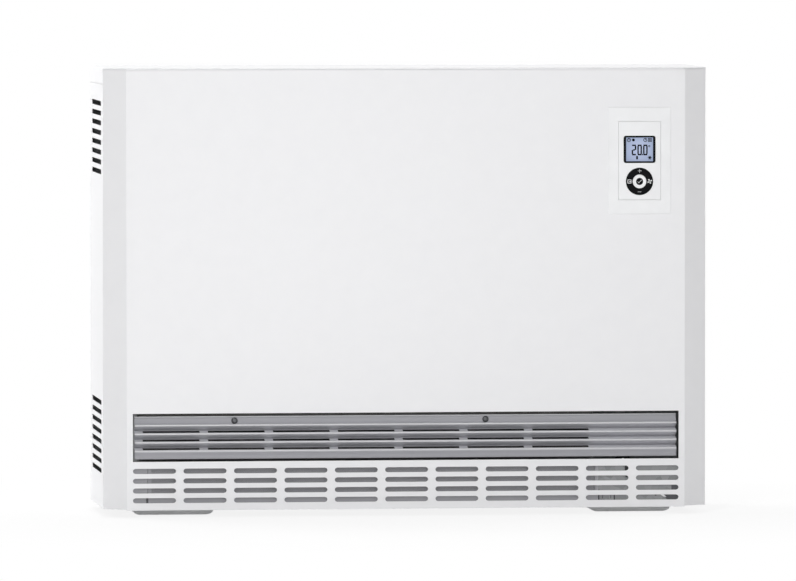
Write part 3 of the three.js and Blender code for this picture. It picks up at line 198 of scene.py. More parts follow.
def passage(value, start, end, low=0.0, high=1.0):
    """Goes from low to high while a value goes from start to end, and stays there."""
    return value.node("ShaderNodeMapRange", {}, {
        "Value": value, "From Min": start, "From Max": end, "To Min": low, "To Max": high})


finishes = {}


def finish(slot, sockets):
    """Makes the material of a slot. sockets takes the place and gives the shader's sockets."""
    made = bpy.data.materials.new(slot)
    made.use_nodes = True
    made.node_tree.nodes.clear()
    start = Wire(made.node_tree)
    place = start.node("ShaderNodeTexCoord", output="Object")
    shader = start.node("ShaderNodeBsdfPrincipled", {}, sockets(place))
    start.node("ShaderNodeOutputMaterial", {}, {"Surface": shader})
    finishes[slot] = made
    print("finish", slot, "has", len(made.node_tree.nodes), "nodes")


# %% [markdown]
# ## White powder coat
# The casing is steel with a baked coat of white powder. Close up it isn't flat: the powder
# melts into a faint orange peel about a millimetre across, and a large sheet is never quite
# plane. An image could hold this, but noise at two scales is sharper at any distance.


# %% White powder coat
def powder_coat(place):
    peel = noise(place, 700.0, 3.0)
    waves = noise(place, 5.0, 1.0)
    cloud = noise(place, 40.0, 2.0)
    return {
        "Base Color": shades(cloud, (0.80, 0.80, 0.815), (0.83, 0.83, 0.842)),
        "Roughness": 0.38 + 0.10 * cloud,
        "Normal": bump(0.02 * peel + waves, 0.35, 0.5),
    }


finish("white_paint", powder_coat)

# %% [markdown]
# ## Grey grille paint
# The grille has a silver grey stoved paint with a little metal in it. The metal flakes make it
# brighter where light strikes straight, so a part of it is metallic, and the flakes are cells
# far smaller than a pixel of the photograph. The faces that look up are painted a paler grey,
# which is painted light from above. The front lips and the top rim are painted a lighter grey
# too, as painted highlights along those edges.

# %% Grey grille paint
grille_low, grille_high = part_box("outlet_grille")
LIP_BACK, LIP_FRONT = grille_low.y + 0.9 * MM, grille_low.y + 0.3 * MM
RIM_FOOT, RIM_TOP = grille_high.z - 1.6 * MM, grille_high.z - 1.0 * MM


def flake_paint_with_painted_light(place):
    flakes = cells(place, 2600.0)
    cloud = noise(place, 12.0, 2.0)
    # Painted light: faces that look up get a paler coat, as if lit from above.
    painted_light_from_above = along_axis(place.node("ShaderNodeNewGeometry", output="Normal"), "Z")
    coat_with_painted_light = ramp(0.5 + 0.5 * painted_light_from_above + 0.05 * flakes, (0.1, (0.46, 0.46, 0.49)),
                (0.5, (0.30, 0.30, 0.323)), (0.8, (0.60, 0.60, 0.63)))
    # Painted highlights: the front lips and the top rim are painted a lighter grey.
    painted_lip_highlight = passage(along_axis(place, "Y"), LIP_BACK, LIP_FRONT)
    painted_rim_highlight = passage(along_axis(place, "Z"), RIM_FOOT, RIM_TOP)
    return {
        "Base Color": shades(painted_lip_highlight.sum("MAXIMUM", painted_lip_highlight, painted_rim_highlight), coat_with_painted_light, (0.60, 0.60, 0.62)),
        "Metallic": 0.04 + 0.06 * flakes,
        "Roughness": 0.46 + 0.06 * cloud,
        "Specular IOR Level": 0.3,
        "Normal": bump(flakes, 0.003, 0.3),
    }


finish("grille_paint", flake_paint_with_painted_light)

# %% [markdown]
# ## Galvanised and plain steel
# The base, the ducts and the sleeve of the core are galvanised sheet. Zinc sets in crystals,
# the spangle, which turn the light each in its own direction: cells of a Voronoi pattern give
# each crystal its own grey and its own gloss. The zinc of the outlet duct is painted a
# near-black grey as painted shade, so that the louvres look black inside. The shaft and the
# screws are darker, with the fine turning marks of a lathe.

# %% Galvanised sheet
CRYSTALS_PER_METRE = 95.0


def crystals(place):
    """A tone from 0 to 1 for each crystal of the zinc."""
    colour = cells(place, CRYSTALS_PER_METRE, "Color")
    return colour.node("ShaderNodeSeparateColor", {}, {"Color": colour})


def spangle(place):
    grain = noise(place, 900.0, 2.0)
    tone = crystals(place)
    return {
        "Base Color": shades(tone, (0.17, 0.175, 0.18), (0.27, 0.275, 0.28)),
        "Metallic": 0.45,
        "Roughness": 0.46 + 0.16 * tone + 0.05 * grain,
        "Normal": bump(grain, 0.02, 0.3),
    }


finish("galvanised", spangle)


# %% Zinc painted near-black, as painted shade inside the duct
def zinc_painted_dark(place):
    tone = crystals(place)
    shade_cloud = noise(place, 18.0, 4.0)
    return {
        # Painted shade: a near-black grey stands for the shade inside the duct.
        "Base Color": shades(shade_cloud, (0.022, 0.021, 0.021), (0.060, 0.058, 0.056)),
        "Metallic": 0.4,
        "Roughness": 0.55 + 0.15 * tone,
        "Normal": bump(tone, 0.01, 0.3),
    }


finish("zinc_painted_dark", zinc_painted_dark)


# %% Dark steel and motor steel
def dark_steel(place):
    marks = noise(place, 500.0, 2.0, (0.15, 1.0, 1.0))
    cloud = noise(place, 150.0, 2.0)
    return {
        "Base Color": shades(cloud, (0.035, 0.036, 0.04), (0.075, 0.077, 0.082)),
        "Metallic": 0.7,
        "Roughness": 0.3 + 0.15 * marks,
        "Normal": bump(marks, 0.015, 0.5),
    }


def motor_steel(place):
    grain = noise(place, 600.0, 2.0, (1.0, 0.1, 0.1))
    cloud = noise(place, 60.0, 3.0)
    return {
        "Base Color": shades(cloud, (0.24, 0.245, 0.25), (0.32, 0.325, 0.33)),
        "Metallic": 0.8,
        "Roughness": 0.36 + 0.12 * grain,
        "Normal": bump(grain, 0.02, 0.5),
    }


finish("dark_steel", dark_steel)
finish("motor_steel", motor_steel)

# %% [markdown]
# ## Bronze
# The bearings are sintered bronze, pressed from grains and full of oil, and the strip that
# moves with the heat has the same warm colour. The grains show as small dark pits.


# %% Sintered bronze
def sintered(place):
    grains = cells(place, 1500.0)
    cloud = noise(place, 120.0, 2.0)
    return {
        "Base Color": shades(cloud, (0.25, 0.14, 0.055), (0.36, 0.21, 0.09)),
        "Metallic": 0.8,
        "Roughness": 0.38 + 0.25 * grains,
        "Normal": bump(grains, 0.04, 0.5),
    }


finish("bronze", sintered)

# %% [markdown]
# ## Moulded plastics and rubber
# Much of what a hand touches is moulded: the white control panel, the black key ring, the
# feet and the frame of the lint filter, and inside the heater the fan wheels and the rubber
# collar under the ring. A mould leaves a fine even texture, finer on what is looked at and
# coarser on what isn't, and every plastic has its own gloss. One function takes those numbers,
# so that each finish is one line.

# %% Plastics by colour, gloss and grain
DARKEST, PALEST = 0.93, 1.04  # how far the cloud moves a colour


def moulded(colour, gloss, grain_scale, grain_mm, mirror=0.5):
    """Mirror is the strength of reflections, which is low where the photograph shows none."""
    def sockets(place):
        grain = noise(place, grain_scale, 2.0)
        cloud = noise(place, 30.0, 3.0)
        return {
            "Base Color": shades(cloud, [channel * DARKEST for channel in colour],
                                 [channel * PALEST for channel in colour]),
            "Roughness": 1 - gloss + 0.08 * grain,
            "Specular IOR Level": mirror,
            "Normal": bump(grain, grain_mm, 0.6),
        }
    return sockets


finish("white_plastic", moulded((0.855, 0.86, 0.87), 0.58, 1600.0, 0.02))
finish("black_plastic", moulded((0.007, 0.007, 0.008), 0.5, 2000.0, 0.012, 0.03))
finish("fan_plastic", moulded((0.02, 0.02, 0.022), 0.5, 1200.0, 0.03))
finish("foot_plastic", moulded((0.88, 0.885, 0.89), 0.5, 900.0, 0.05))
finish("filter_plastic", moulded((0.32, 0.32, 0.338), 0.4, 900.0, 0.05))
finish("rubber", moulded((0.022, 0.022, 0.025), 0.22, 1400.0, 0.05))

# %% [markdown]
# ## The gauze of the lint filter
# Behind the slots lies a woven plastic gauze that keeps lint from the fan. Its threads cross
# every 1.2 mm. Sine waves along X and Z, one wave to each thread, give the threads their round
# backs, and the holes between them are dark.

# %% Gauze
THREAD_PITCH = 1.2 * MM


def ridges(place, axis, pitch):
    """Round ridges across one axis, from 0 in the gaps to 1 on the backs."""
    turns = along_axis(place, axis) * (2 * math.pi / pitch)
    return 0.5 + 0.5 * turns.node("ShaderNodeMath", {"operation": "SINE"}, {0: turns})


def gauze(place):
    upright = ridges(place, "X", THREAD_PITCH)
    across = ridges(place, "Z", THREAD_PITCH)
    weave = upright.sum("MAXIMUM", upright, across)
    lint = noise(place, 25.0, 4.0)
    return {
        "Base Color": shades(weave, (0.09, 0.09, 0.096), (0.35, 0.35, 0.368)),
        "Roughness": 0.65 + 0.2 * lint,
        "Normal": bump(weave, 0.25, 0.6),
    }


finish("filter_gauze", gauze)

# %% [markdown]
# ## The core
# The bricks are magnetite, a dense brown ore pressed with clay and fired, and they are grainy
# and speckled. The insulating boards are pale pressed mineral fibre. The heating rods are a
# steel tube that heat has tinted brown and blue. Little of this is seen from outside, but it
# is what a service engineer meets behind the front panel.


# %% Brick, board and rod
def fired_brick(place):
    grains = cells(place, 420.0)
    cloud = noise(place, 22.0, 6.0)
    return {
        "Base Color": ramp(cloud, (0.3, (0.045, 0.03, 0.022)), (0.55, (0.10, 0.065, 0.046)),
                           (0.75, (0.17, 0.12, 0.09))),
        "Roughness": 0.8 + 0.15 * grains,
        "Normal": bump(grains + 2.0 * cloud, 0.5, 0.7),
    }


def pressed_fibre(place):
    fibres = noise(place, 260.0, 5.0, (0.25, 1.0, 0.4))
    cloud = noise(place, 12.0, 3.0)
    return {
        "Base Color": shades(cloud, (0.56, 0.53, 0.47), (0.70, 0.67, 0.60)),
        "Roughness": 0.85 + 0.1 * fibres,
        "Normal": bump(fibres, 0.4, 0.6),
    }


def heat_tint(place):
    cloud = noise(place, 14.0, 4.0)
    grain = noise(place, 800.0, 2.0)
    return {
        "Base Color": ramp(cloud, (0.3, (0.10, 0.085, 0.075)), (0.5, (0.17, 0.13, 0.10)),
                           (0.7, (0.10, 0.11, 0.14))),
        "Metallic": 0.75,
        "Roughness": 0.42 + 0.15 * grain,
        "Normal": bump(grain, 0.03, 0.4),
    }


finish("brick", fired_brick)
finish("insulation_board", pressed_fibre)
finish("element_sheath", heat_tint)

# %% [markdown]
# ## The circuit boards
# A green lacquer covers the copper tracks of a board, and they show through as straight paths
# of a paler green. The mortar lines of a Brick texture look like such paths.


# %% Circuit board
def lacquer(place):
    plane = place.node("ShaderNodeCombineXYZ", {},
                       {"X": along_axis(place, "X"), "Y": along_axis(place, "Z")})
    tracks = plane.node("ShaderNodeTexBrick", {}, {
        "Vector": plane, "Scale": 90.0, "Mortar Size": 0.06}, "Fac")
    return {
        "Base Color": shades(tracks, (0.012, 0.085, 0.03), (0.03, 0.17, 0.06)),
        "Roughness": 0.3 + 0.1 * tracks,
        "Normal": bump(tracks, 0.04, 0.5),
    }


finish("circuit_board", lacquer)

# %% [markdown]
# ## The display
# The display has a glossy black edge, and behind its window a pale blue liquid crystal panel,
# lit from behind. The light is a little stronger in the middle than at the edges, and the panel
# has a fine grid of cells. A weak emission over a pale base gives that glow without making the
# panel a lamp.

# %% Display glass and liquid crystal
lcd_low, lcd_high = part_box("lcd_panel")
LCD_MIDDLE = (lcd_low + lcd_high) / 2
LCD_CELL = 0.5 * MM
GLOW_REACH = 30 * MM  # from the middle of the panel to where the light is weakest


def polished_black(place):
    smear = noise(place, 90.0, 3.0)
    return {
        "Base Color": shades(smear, (0.006, 0.006, 0.007), (0.011, 0.011, 0.013)),
        "Roughness": 0.06 + 0.08 * smear,
        "Specular IOR Level": 0.03,
    }


def backlit(place):
    inward = place.node("ShaderNodeVectorMath", {"operation": "SUBTRACT"},
                        {0: place, 1: LCD_MIDDLE})
    far = inward.node("ShaderNodeVectorMath", {"operation": "LENGTH"}, {0: inward}, "Value")
    grid = ridges(place, "X", LCD_CELL) * ridges(place, "Z", LCD_CELL)
    glow = far * (1 / GLOW_REACH) + 0.08 * grid
    return {
        "Base Color": shades(glow, (0.36, 0.41, 0.56), (0.20, 0.25, 0.38)),
        "Emission Color": shades(glow, (0.42, 0.50, 0.70), (0.25, 0.32, 0.50)),
        "Emission Strength": 0.25,
        "Roughness": 0.22 + 0.05 * grid,
    }


finish("display_glass", polished_black)
finish("lcd", backlit)

# %% [markdown]
# ## Dress the CAD solids
# The imported record says which slot each solid takes its finish from. The solids whose shape is
# right as it is only need that: their meshes are left alone. Three galvanised solids stand in
# the hot air of the outlet duct and get the zinc painted near-black, as painted shade.

# %% Give every solid its finish
PAINTED_DARK_IN_DUCT = ("outlet_duct", "duct_ceiling", "mixing_flap")
slot_of = {row["node"]: row["material_slot"] for row in frame["record"]["subparts"]}
for name, solid in frame["nodes"].items():
    for place in solid.material_slots:
        place.material = finishes["zinc_painted_dark" if name in PAINTED_DARK_IN_DUCT else slot_of[name]]
print("finished", len(slot_of), "solids with", len(finishes), "finishes")

# %% [markdown]
# ## Pieces made from a solid
# Folded steel has a bend radius, and CAD draws it as a sharp line. Where only the edges are
# missing, the quickest true piece is a copy of the solid: its loose triangles are joined, its
# flat faces made whole, and the edges that should be round are bevelled. The new strips are
# shaded smooth, and the sheets stay flat.


# %% Copy a solid and round its edges
def joined_copy(node):
    """A copy of a solid as a bmesh, with shared vertices and whole flat faces."""
    work = bmesh.new()
    work.from_mesh(frame["nodes"][node].data)
    bmesh.ops.remove_doubles(work, verts=work.verts, dist=0.01 * MM)
    bmesh.ops.dissolve_limit(work, angle_limit=math.radians(1.0), use_dissolve_boundaries=False,
                             verts=work.verts, edges=work.edges, delimit=set())
    return work


def sharp_edges(work, angle, wanted=lambda edge: True):
    """The edges that bend more than an angle in degrees, and that a test also wants."""
    limit = math.radians(angle)
    return [edge for edge in work.edges
            if edge.is_manifold and edge.calc_face_angle() > limit and wanted(edge)]


def round_off(work, edges, width_mm, segments):
    """Bevels edges and shades the new strips smooth. Gives the number of edges."""
    for face in work.faces:
        face.smooth = False
    made = bmesh.ops.bevel(work, geom=edges, offset=width_mm * MM, offset_type="OFFSET",
                           affect="EDGES", segments=segments, profile=0.5, material=-1,
                           clamp_overlap=True)
    for face in made["faces"]:
        face.smooth = True
    return len(edges)


def along(axis, shortest_mm):
    """A test for edges that run along an axis, 0 for X and 2 for Z, and are this long."""
    def wanted(edge):
        run = edge.verts[1].co - edge.verts[0].co
        return run.length > shortest_mm * MM and abs(run[axis]) > 0.999 * run.length
    return wanted


# %% [markdown]
# A finished piece needs an object, its finish, the body that it moves with, and the name of the
# solid that it stands for. One function does all four, so that no piece is left behind when a
# joint moves.


# %% Turn a bmesh into a piece
def piece(name, work, slot, body, *nodes):
    """Turns a bmesh into an object in a slot's finish, on a body, in the place of nodes."""
    mesh = bpy.data.meshes.new(name)
    bmesh.ops.recalc_face_normals(work, faces=work.faces)
    work.to_mesh(mesh)
    work.free()
    mesh.materials.append(finishes[slot])
    made = bpy.data.objects.new(name, mesh)
    bpy.context.scene.collection.objects.link(made)
    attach(made, body)
    if nodes:
        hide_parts(*nodes)
    print(name, "has", len(mesh.polygons), "faces")
    return made


# %% [markdown]
# ## The front panel
# One sheet makes the front, both chamfers and a short return on each side. The press leaves a
# small radius on each upright bend, which shows in the photograph as a soft line.

# %% Round the bends of the front panel
X, Z = 0, 2
FOLDED = 20.0  # degrees that a sheet turns at a fold, at least
FRONT_RADIUS, FRONT_BEND_LENGTH = 1.6, 300.0
work = joined_copy("front_panel")
bends = sharp_edges(work, FOLDED, along(Z, FRONT_BEND_LENGTH))
print("bends rounded:", round_off(work, bends, FRONT_RADIUS, segments=4))
piece("front_sheet", work, "white_paint", "casing", "front_panel")

# %% [markdown]
# ## The lid
# The lid is one folded sheet too. Its long edges get a smaller radius, because its skirt is
# bent through a right angle.

# %% Round the edges of the lid
LID_RADIUS, LID_EDGE_LENGTH = 0.35, 15.0
work = joined_copy("top_cover")
edges = sharp_edges(work, FOLDED, lambda edge: edge.calc_length() > LID_EDGE_LENGTH * MM)
print("edges rounded:", round_off(work, edges, LID_RADIUS, segments=3))
piece("lid", work, "white_paint", "casing", "top_cover")

# %% [markdown]
# ## The grille
# The grille is pressed from one sheet, folded into three louvres. Its lips catch a line of
# light each, because they are rolled over. Rounding the long folds gives those lines, and the
# lighter grey painted on the lips and the top rim adds to them as a painted highlight. The bar
# at the foot stands a little further forward than in CAD, so that it catches light from above.

# %% Round the folds of the grille
GRILLE_BAR, BAR_FORWARD = 6.0 * MM, 4.0 * MM
GRILLE_RADIUS, GRILLE_FOLD_LENGTH = 0.25, 60.0
work = joined_copy("outlet_grille")
bar_top = grille_low.z + GRILLE_BAR
bmesh.ops.translate(work, vec=(0.0, -BAR_FORWARD, 0.0),
                    verts=[v for v in work.verts if v.co.z < bar_top])
folds = sharp_edges(work, FOLDED, along(X, GRILLE_FOLD_LENGTH))
print("folds rounded:", round_off(work, folds, GRILLE_RADIUS, segments=2))
piece("grille", work, "grille_paint", "casing", "outlet_grille")

# %% [markdown]
# ## The guide of the lint filter
# At the left the filter slides behind a short moulded guide, which shows through the first
# slots. It is a flat plate with a lip that turns back along its inner edge: a grid of one face,
# whose edge is extruded back, and its thickness comes from a Solidify modifier.

# %% Flat faces that stand upright
STAND_UP = Matrix.Rotation(math.pi / 2, 3, "X")


def unit_face(work):
    """Adds a square of 1 m in the XY plane round the origin and gives its vertices."""
    return bmesh.ops.create_grid(work, x_segments=1, y_segments=1, size=0.5)["verts"]


def upright_face(low, high):
    """A bmesh with one face across X and Z, between two corners and at the first one's Y."""
    work = bmesh.new()
    made = unit_face(work)
    bmesh.ops.rotate(work, verts=made, matrix=STAND_UP)
    bmesh.ops.scale(work, verts=made, vec=(high.x - low.x, 1.0, high.z - low.z))
    bmesh.ops.translate(work, verts=made,
                        vec=((low.x + high.x) / 2, low.y, (low.z + high.z) / 2))
    return work


def push(work, extruded, y):
    """Moves the vertices that an extrusion made along Y."""
    made = [item for item in extruded["geom"] if isinstance(item, bmesh.types.BMVert)]
    bmesh.ops.translate(work, verts=made, vec=(0.0, y, 0.0))


# %% Make the guide
filter_low, filter_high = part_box("lint_filter_frame")
GUIDE_WIDTH, GUIDE_LIP, GUIDE_SHEET = 24.0 * MM, 4.0 * MM, 0.8 * MM
GUIDE_GAP = 1.0 * MM  # between the guide and the filter
work = upright_face(
    Vector((filter_low.x - GUIDE_GAP - GUIDE_WIDTH, filter_low.y, filter_low.z)),
    Vector((filter_low.x - GUIDE_GAP, filter_low.y, filter_high.z)))
inner = [edge for edge in work.edges
         if all(v.co.x > filter_low.x - 2 * GUIDE_GAP for v in edge.verts)]
push(work, bmesh.ops.extrude_edge_only(work, edges=inner), GUIDE_LIP)
bmesh.ops.recalc_face_normals(work, faces=work.faces)
guide = piece("filter_guide", work, "filter_plastic", "casing")
thick = guide.modifiers.new("sheet", "SOLIDIFY")
thick.thickness = GUIDE_SHEET
thick.offset = 0.0

# %% [markdown]
# ## Control panel
# The white frame and the panel in it are mouldings with small even radii on every edge. These
# radii are what makes the thin bright and dark lines round the panel in the photograph.

# %% Round the frame and the fascia
SQUARE = 30.0  # degrees between two faces of a moulding or a screw, at least
for node, name, radius in (("control_frame", "panel_frame", 0.3),
                           ("control_fascia", "panel_fascia", 0.12)):
    work = joined_copy(node)
    edges = sharp_edges(work, SQUARE)
    print("edges rounded:", round_off(work, edges, radius, segments=3))
    piece(name, work, "white_plastic", "casing", node)

# %% [markdown]
# ## Feet
# Each foot is a shallow hollow moulding with a soft lower rim. Its upper edge carries the
# weight and is square.

# %% Round the feet
FOOT_BEND, FOOT_RADIUS = 8.0, 0.8
for side in ("left", "right"):
    work = joined_copy(side + "_foot")
    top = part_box(side + "_foot")[1].z
    edges = sharp_edges(work, FOOT_BEND, lambda edge: max(v.co.z for v in edge.verts) < top)
    print("edges rounded:", round_off(work, edges, FOOT_RADIUS, segments=2))
    piece("foot_" + side, work, "foot_plastic", "casing", side + "_foot")

# %% [markdown]
# ## The display edge
# The black edge of the display is a thin rounded plate with a window in it. It starts as the
# flat front of the solid: the window comes from an inset of that face, and the plate gets its
# thickness by extruding it backwards.

# %% Make the display edge
WINDOW = Vector((39.6, 34.6)) * MM
DISPLAY_CORNER, DISPLAY_RIM = 3.0, 0.3
low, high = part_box("display_lens")
work = upright_face(low, high)
margin = (high.x - low.x - WINDOW.x) / 2
bmesh.ops.inset_region(work, faces=work.faces, thickness=margin, use_even_offset=True,
                       use_boundary=True)
hole = min(work.faces, key=lambda face: (face.calc_center_median() - LCD_MIDDLE).length)
middle = hole.calc_center_median()
bmesh.ops.scale(work, verts=hole.verts, space=Matrix.Translation(-middle),
                vec=(1.0, 1.0, WINDOW.y / (high.z - low.z - 2 * margin)))
bmesh.ops.delete(work, geom=[hole], context="FACES_ONLY")
print("display edge", len(work.faces), "faces round a window of", WINDOW / MM, "mm")

# %% Thicken and round it
push(work, bmesh.ops.extrude_face_region(work, geom=work.faces[:]), high.y - low.y)
bmesh.ops.recalc_face_normals(work, faces=work.faces)
corners = [edge for edge in work.edges
           if abs(edge.verts[0].co.y - edge.verts[1].co.y) > MM
           and abs(edge.verts[0].co.x - middle.x) > WINDOW.x / 2 + MM]
bmesh.ops.bevel(work, geom=corners, offset=DISPLAY_CORNER * MM, offset_type="OFFSET",
                affect="EDGES", segments=8, profile=0.5, material=-1)
rims = sharp_edges(work, 40.0, lambda edge: all(v.co.y < low.y + 0.1 * MM for v in edge.verts))
round_off(work, rims, DISPLAY_RIM, segments=3)
piece("display_edge", work, "display_glass", "casing", "display_lens")

# %% [markdown]
# ## The keys
# The ring is a rocker with four places to press, and the round key in its middle confirms.
# Both are turned shapes, so both are spun from half a section: a few points are extruded round
# the axis of the ring. The ring's face is slightly crowned and the key has a raised rim, so
# that a finger finds them.

# %% Spin a section round the ring's axis
RING_LOW, RING_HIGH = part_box("nav_ring_key")
RING_AXIS = (RING_LOW + RING_HIGH) / 2
SPIN_STEPS = 96
KEY_CREASE = math.radians(50.0)  # a sharper edge than this isn't shaded smooth


def spun(section, closed):
    """Spins points (radius, y), in mm and from the front down, round the ring's axis."""
    work = bmesh.new()
    ring = [work.verts.new((RING_AXIS.x + radius * MM, y * MM, RING_AXIS.z))
            for radius, y in section]
    pairs = list(zip(ring, ring[1:])) + ([(ring[-1], ring[0])] if closed else [])
    edges = [work.edges.new(pair) for pair in pairs]
    bmesh.ops.spin(work, geom=ring + edges, cent=RING_AXIS, axis=(0.0, 1.0, 0.0),
                   angle=2 * math.pi, steps=SPIN_STEPS, use_merge=True)
    bmesh.ops.remove_doubles(work, verts=work.verts, dist=0.001 * MM)
    for face in work.faces:
        face.smooth = True
    return work


ring_front = RING_LOW.y / MM
ring_back = RING_HIGH.y / MM
ring = spun([(10.4, ring_back), (10.4, ring_front + 0.45), (10.6, ring_front + 0.22),
             (11.1, ring_front + 0.1), (13.0, ring_front + 0.02), (15.0, ring_front),
             (17.0, ring_front + 0.05), (18.6, ring_front + 0.18), (19.3, ring_front + 0.4),
             (19.55, ring_front + 0.8), (19.55, ring_back)], closed=True)
ring_key = piece("ring_key", ring, "black_plastic", "nav_ring", "nav_ring_key")
ring_key.data.set_sharp_from_angle(angle=KEY_CREASE)

# %% Spin the round key and its stem
KEY_LOW, KEY_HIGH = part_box("ok_key")
key_front = KEY_LOW.y / MM
key_back = KEY_HIGH.y / MM
key = spun([(0.0, key_front + 0.2), (6.0, key_front + 0.2), (8.6, key_front + 0.02),
            (9.3, key_front), (9.8, key_front + 0.15), (10.0, key_front + 0.5),
            (10.0, key_front + 1.8), (4.0, key_front + 1.8), (4.0, key_back),
            (0.0, key_back)], closed=False)
round_key = piece("round_key", key, "white_plastic", "ok_key", "ok_key")
round_key.data.set_sharp_from_angle(angle=KEY_CREASE)

# %% [markdown]
# ## Markings
# The markings are thin plates, each a stroke or a dot, laid on what carries them. Paint would
# need a map for every mark, and a plate a tenth of a millimetre thick is easier to place and
# stays sharp. A stroke is a grid of one face, scaled, turned and moved; a dot is a circle.

# %% Strokes and dots
MARK = 0.08 * MM  # how thick a mark is


def stroke(work, x, z, length, width, degrees=0.0):
    """A straight stroke with its middle at x, z, in mm, level unless it is turned."""
    made = unit_face(work)
    bmesh.ops.scale(work, verts=made, vec=(length * MM, width * MM, 1.0))
    turn = STAND_UP @ Matrix.Rotation(math.radians(degrees), 3, "Z")
    bmesh.ops.rotate(work, verts=made, matrix=turn)
    bmesh.ops.translate(work, verts=made, vec=(x * MM, 0.0, z * MM))


def dot(work, x, z, radius, sides=20, hole=0.0):
    """A disc, or a ring where it has a hole of this radius."""
    made = bmesh.ops.create_circle(work, cap_ends=True, segments=sides, radius=radius * MM)
    verts = made["verts"]
    bmesh.ops.rotate(work, verts=verts, matrix=STAND_UP)
    bmesh.ops.translate(work, verts=verts, vec=(x * MM, 0.0, z * MM))
    if hole:
        face = verts[0].link_faces[0]
        bmesh.ops.inset_region(work, faces=[face], thickness=(radius - hole) * MM,
                               use_boundary=True)
        bmesh.ops.delete(work, geom=[face], context="FACES_ONLY")


def plate(name, work, slot, body, y):
    """Gives flat marks their thickness and lays them with their backs at y."""
    push(work, bmesh.ops.extrude_face_region(work, geom=work.faces[:]), -MARK)
    bmesh.ops.translate(work, verts=work.verts, vec=(0.0, y, 0.0))
    return piece(name, work, slot, body)


# %% [markdown]
# The display shows the room temperature in figures of seven bars, as such displays do. Each
# figure is a word of bars that are lit: a to f clockwise from the top, and g in the middle.

# %% The figures on the display
FIGURE_WIDTH, FIGURE_HEIGHT, BAR, BAR_GAP = 6.7, 15.6, 2.1, 0.1
FIGURE_ROW = 530.1  # the height of the middle of the figures
BARS = {"a": (0, 1), "b": (1, 1), "c": (1, -1), "d": (0, -1), "e": (-1, -1),
        "f": (-1, 1), "g": (0, 0)}
LIT = {"2": "abged", "0": "abcdef"}


def figure(work, x, digit):
    """A figure of upright bars at its sides and level bars between them."""
    across = (FIGURE_WIDTH - BAR) / 2
    up = (FIGURE_HEIGHT - BAR) / 2
    for bar in LIT[digit]:
        right, above = BARS[bar]
        if right:
            stroke(work, x + right * across, FIGURE_ROW + above * (up - BAR / 2) / 2,
                   up - BAR / 2 - BAR_GAP, BAR, 90.0)
        else:
            longer = 0.5 if above else -1
            stroke(work, x, FIGURE_ROW + above * up, 2 * across + longer * BAR, BAR)


marks = bmesh.new()
for x, digit in ((332.6, "2"), (340.9, "0"), (349.3, "0")):
    figure(marks, x, digit)
dot(marks, 345.1, 523.4, 1.0)  # the decimal point
dot(marks, 355.0, 535.6, 1.5, hole=0.7)  # the sign for degrees
print("display figures made of", len(marks.faces), "faces")

# %% [markdown]
# Round the figures stand small signs: clocks for the heating times, a grid for the stored heat,
# a hand that points at the setting, and a snowflake for frost protection.

# %% The signs on the display
SIGN_ROW = 544.6  # the height of the signs over the figures
GRID_X, GRID_PITCH = 355.9, 1.9
for x in (325.2, 349.2):  # the clocks
    dot(marks, x, SIGN_ROW, 2.9, hole=2.0)
    stroke(marks, x, SIGN_ROW + 0.9, 0.8, 2.2)
    stroke(marks, x + 0.7, SIGN_ROW, 1.9, 0.8)
dot(marks, 331.8, SIGN_ROW, 2.1)
for row in (-1, 0, 1):
    for column in (-1, 0, 1):
        stroke(marks, GRID_X + GRID_PITCH * column, SIGN_ROW + GRID_PITCH * row, 1.6, 1.5)
stroke(marks, 337.1, 518.2, 2.7, 3.4)  # the hand
dot(marks, 337.1, 520.3, 1.35, 12)
for turn in range(3):  # the snowflake
    stroke(marks, 355.7, 518.8, 5.6, 1.2, 60.0 * turn)
plate("display_marks", marks, "black_plastic", "casing", lcd_low.y)

# %% [markdown]
# The ring has a plus, a minus, a sign for the menu at the left and one for the fan at the
# right, printed in pale grey. The round key has a black dot with a white tick.

# %% The signs on the keys
KEYS_X, KEYS_Z = 340.6, 484.4
MENU_X, MENU_EDGE, FAN_X = 325.7, 2.4, 355.4
signs = bmesh.new()
stroke(signs, KEYS_X, 499.8, 5.8, 0.4)  # plus
stroke(signs, KEYS_X, 499.8, 0.4, 5.4)
stroke(signs, KEYS_X, 469.3, 5.4, 0.4)  # minus
for z in (-MENU_EDGE, MENU_EDGE):
    stroke(signs, MENU_X, KEYS_Z + z, 5.4, 0.9)
for x in (-MENU_EDGE, MENU_EDGE):
    stroke(signs, MENU_X + x, KEYS_Z, 0.9, 5.6)
stroke(signs, 326.4, 484.2, 2.2, 0.9)
for turn in range(2):
    stroke(signs, FAN_X, KEYS_Z, 7.0, 1.9, 90.0 * turn + 25.0)
dot(signs, FAN_X, KEYS_Z, 1.5)
plate("ring_signs", signs, "white_plastic", "nav_ring", RING_LOW.y + 0.03 * MM)

axis_x, axis_z = RING_AXIS.x / MM, RING_AXIS.z / MM
centre = bmesh.new()
dot(centre, axis_x, axis_z, 5.2, 48)
plate("key_dot", centre, "black_plastic", "ok_key", KEY_LOW.y + 0.22 * MM)
tick = bmesh.new()
stroke(tick, axis_x + 0.9, axis_z + 0.1, 6.0, 0.55, 48.0)
stroke(tick, axis_x - 1.9, axis_z - 1.3, 2.4, 0.55, -45.0)
plate("key_tick", tick, "white_plastic", "ok_key", KEY_LOW.y + 0.15 * MM)

# %% [markdown]
# ## The plate beside the filter
# At the right end of the filter a steel plate closes the space in front of the controls. It
# shows through the last two columns of slots: a sheet with its lower right corner cut away over
# a darker sheet, which is painted shade, and a white bent tab, which is a painted highlight.
# Dark rubber marks on it are painted shade too: two strips in the notches, two upright strips,
# the legs and bar of a bracket, and a dot for a hole. Each outline is one face of a few
# vertices, extruded.

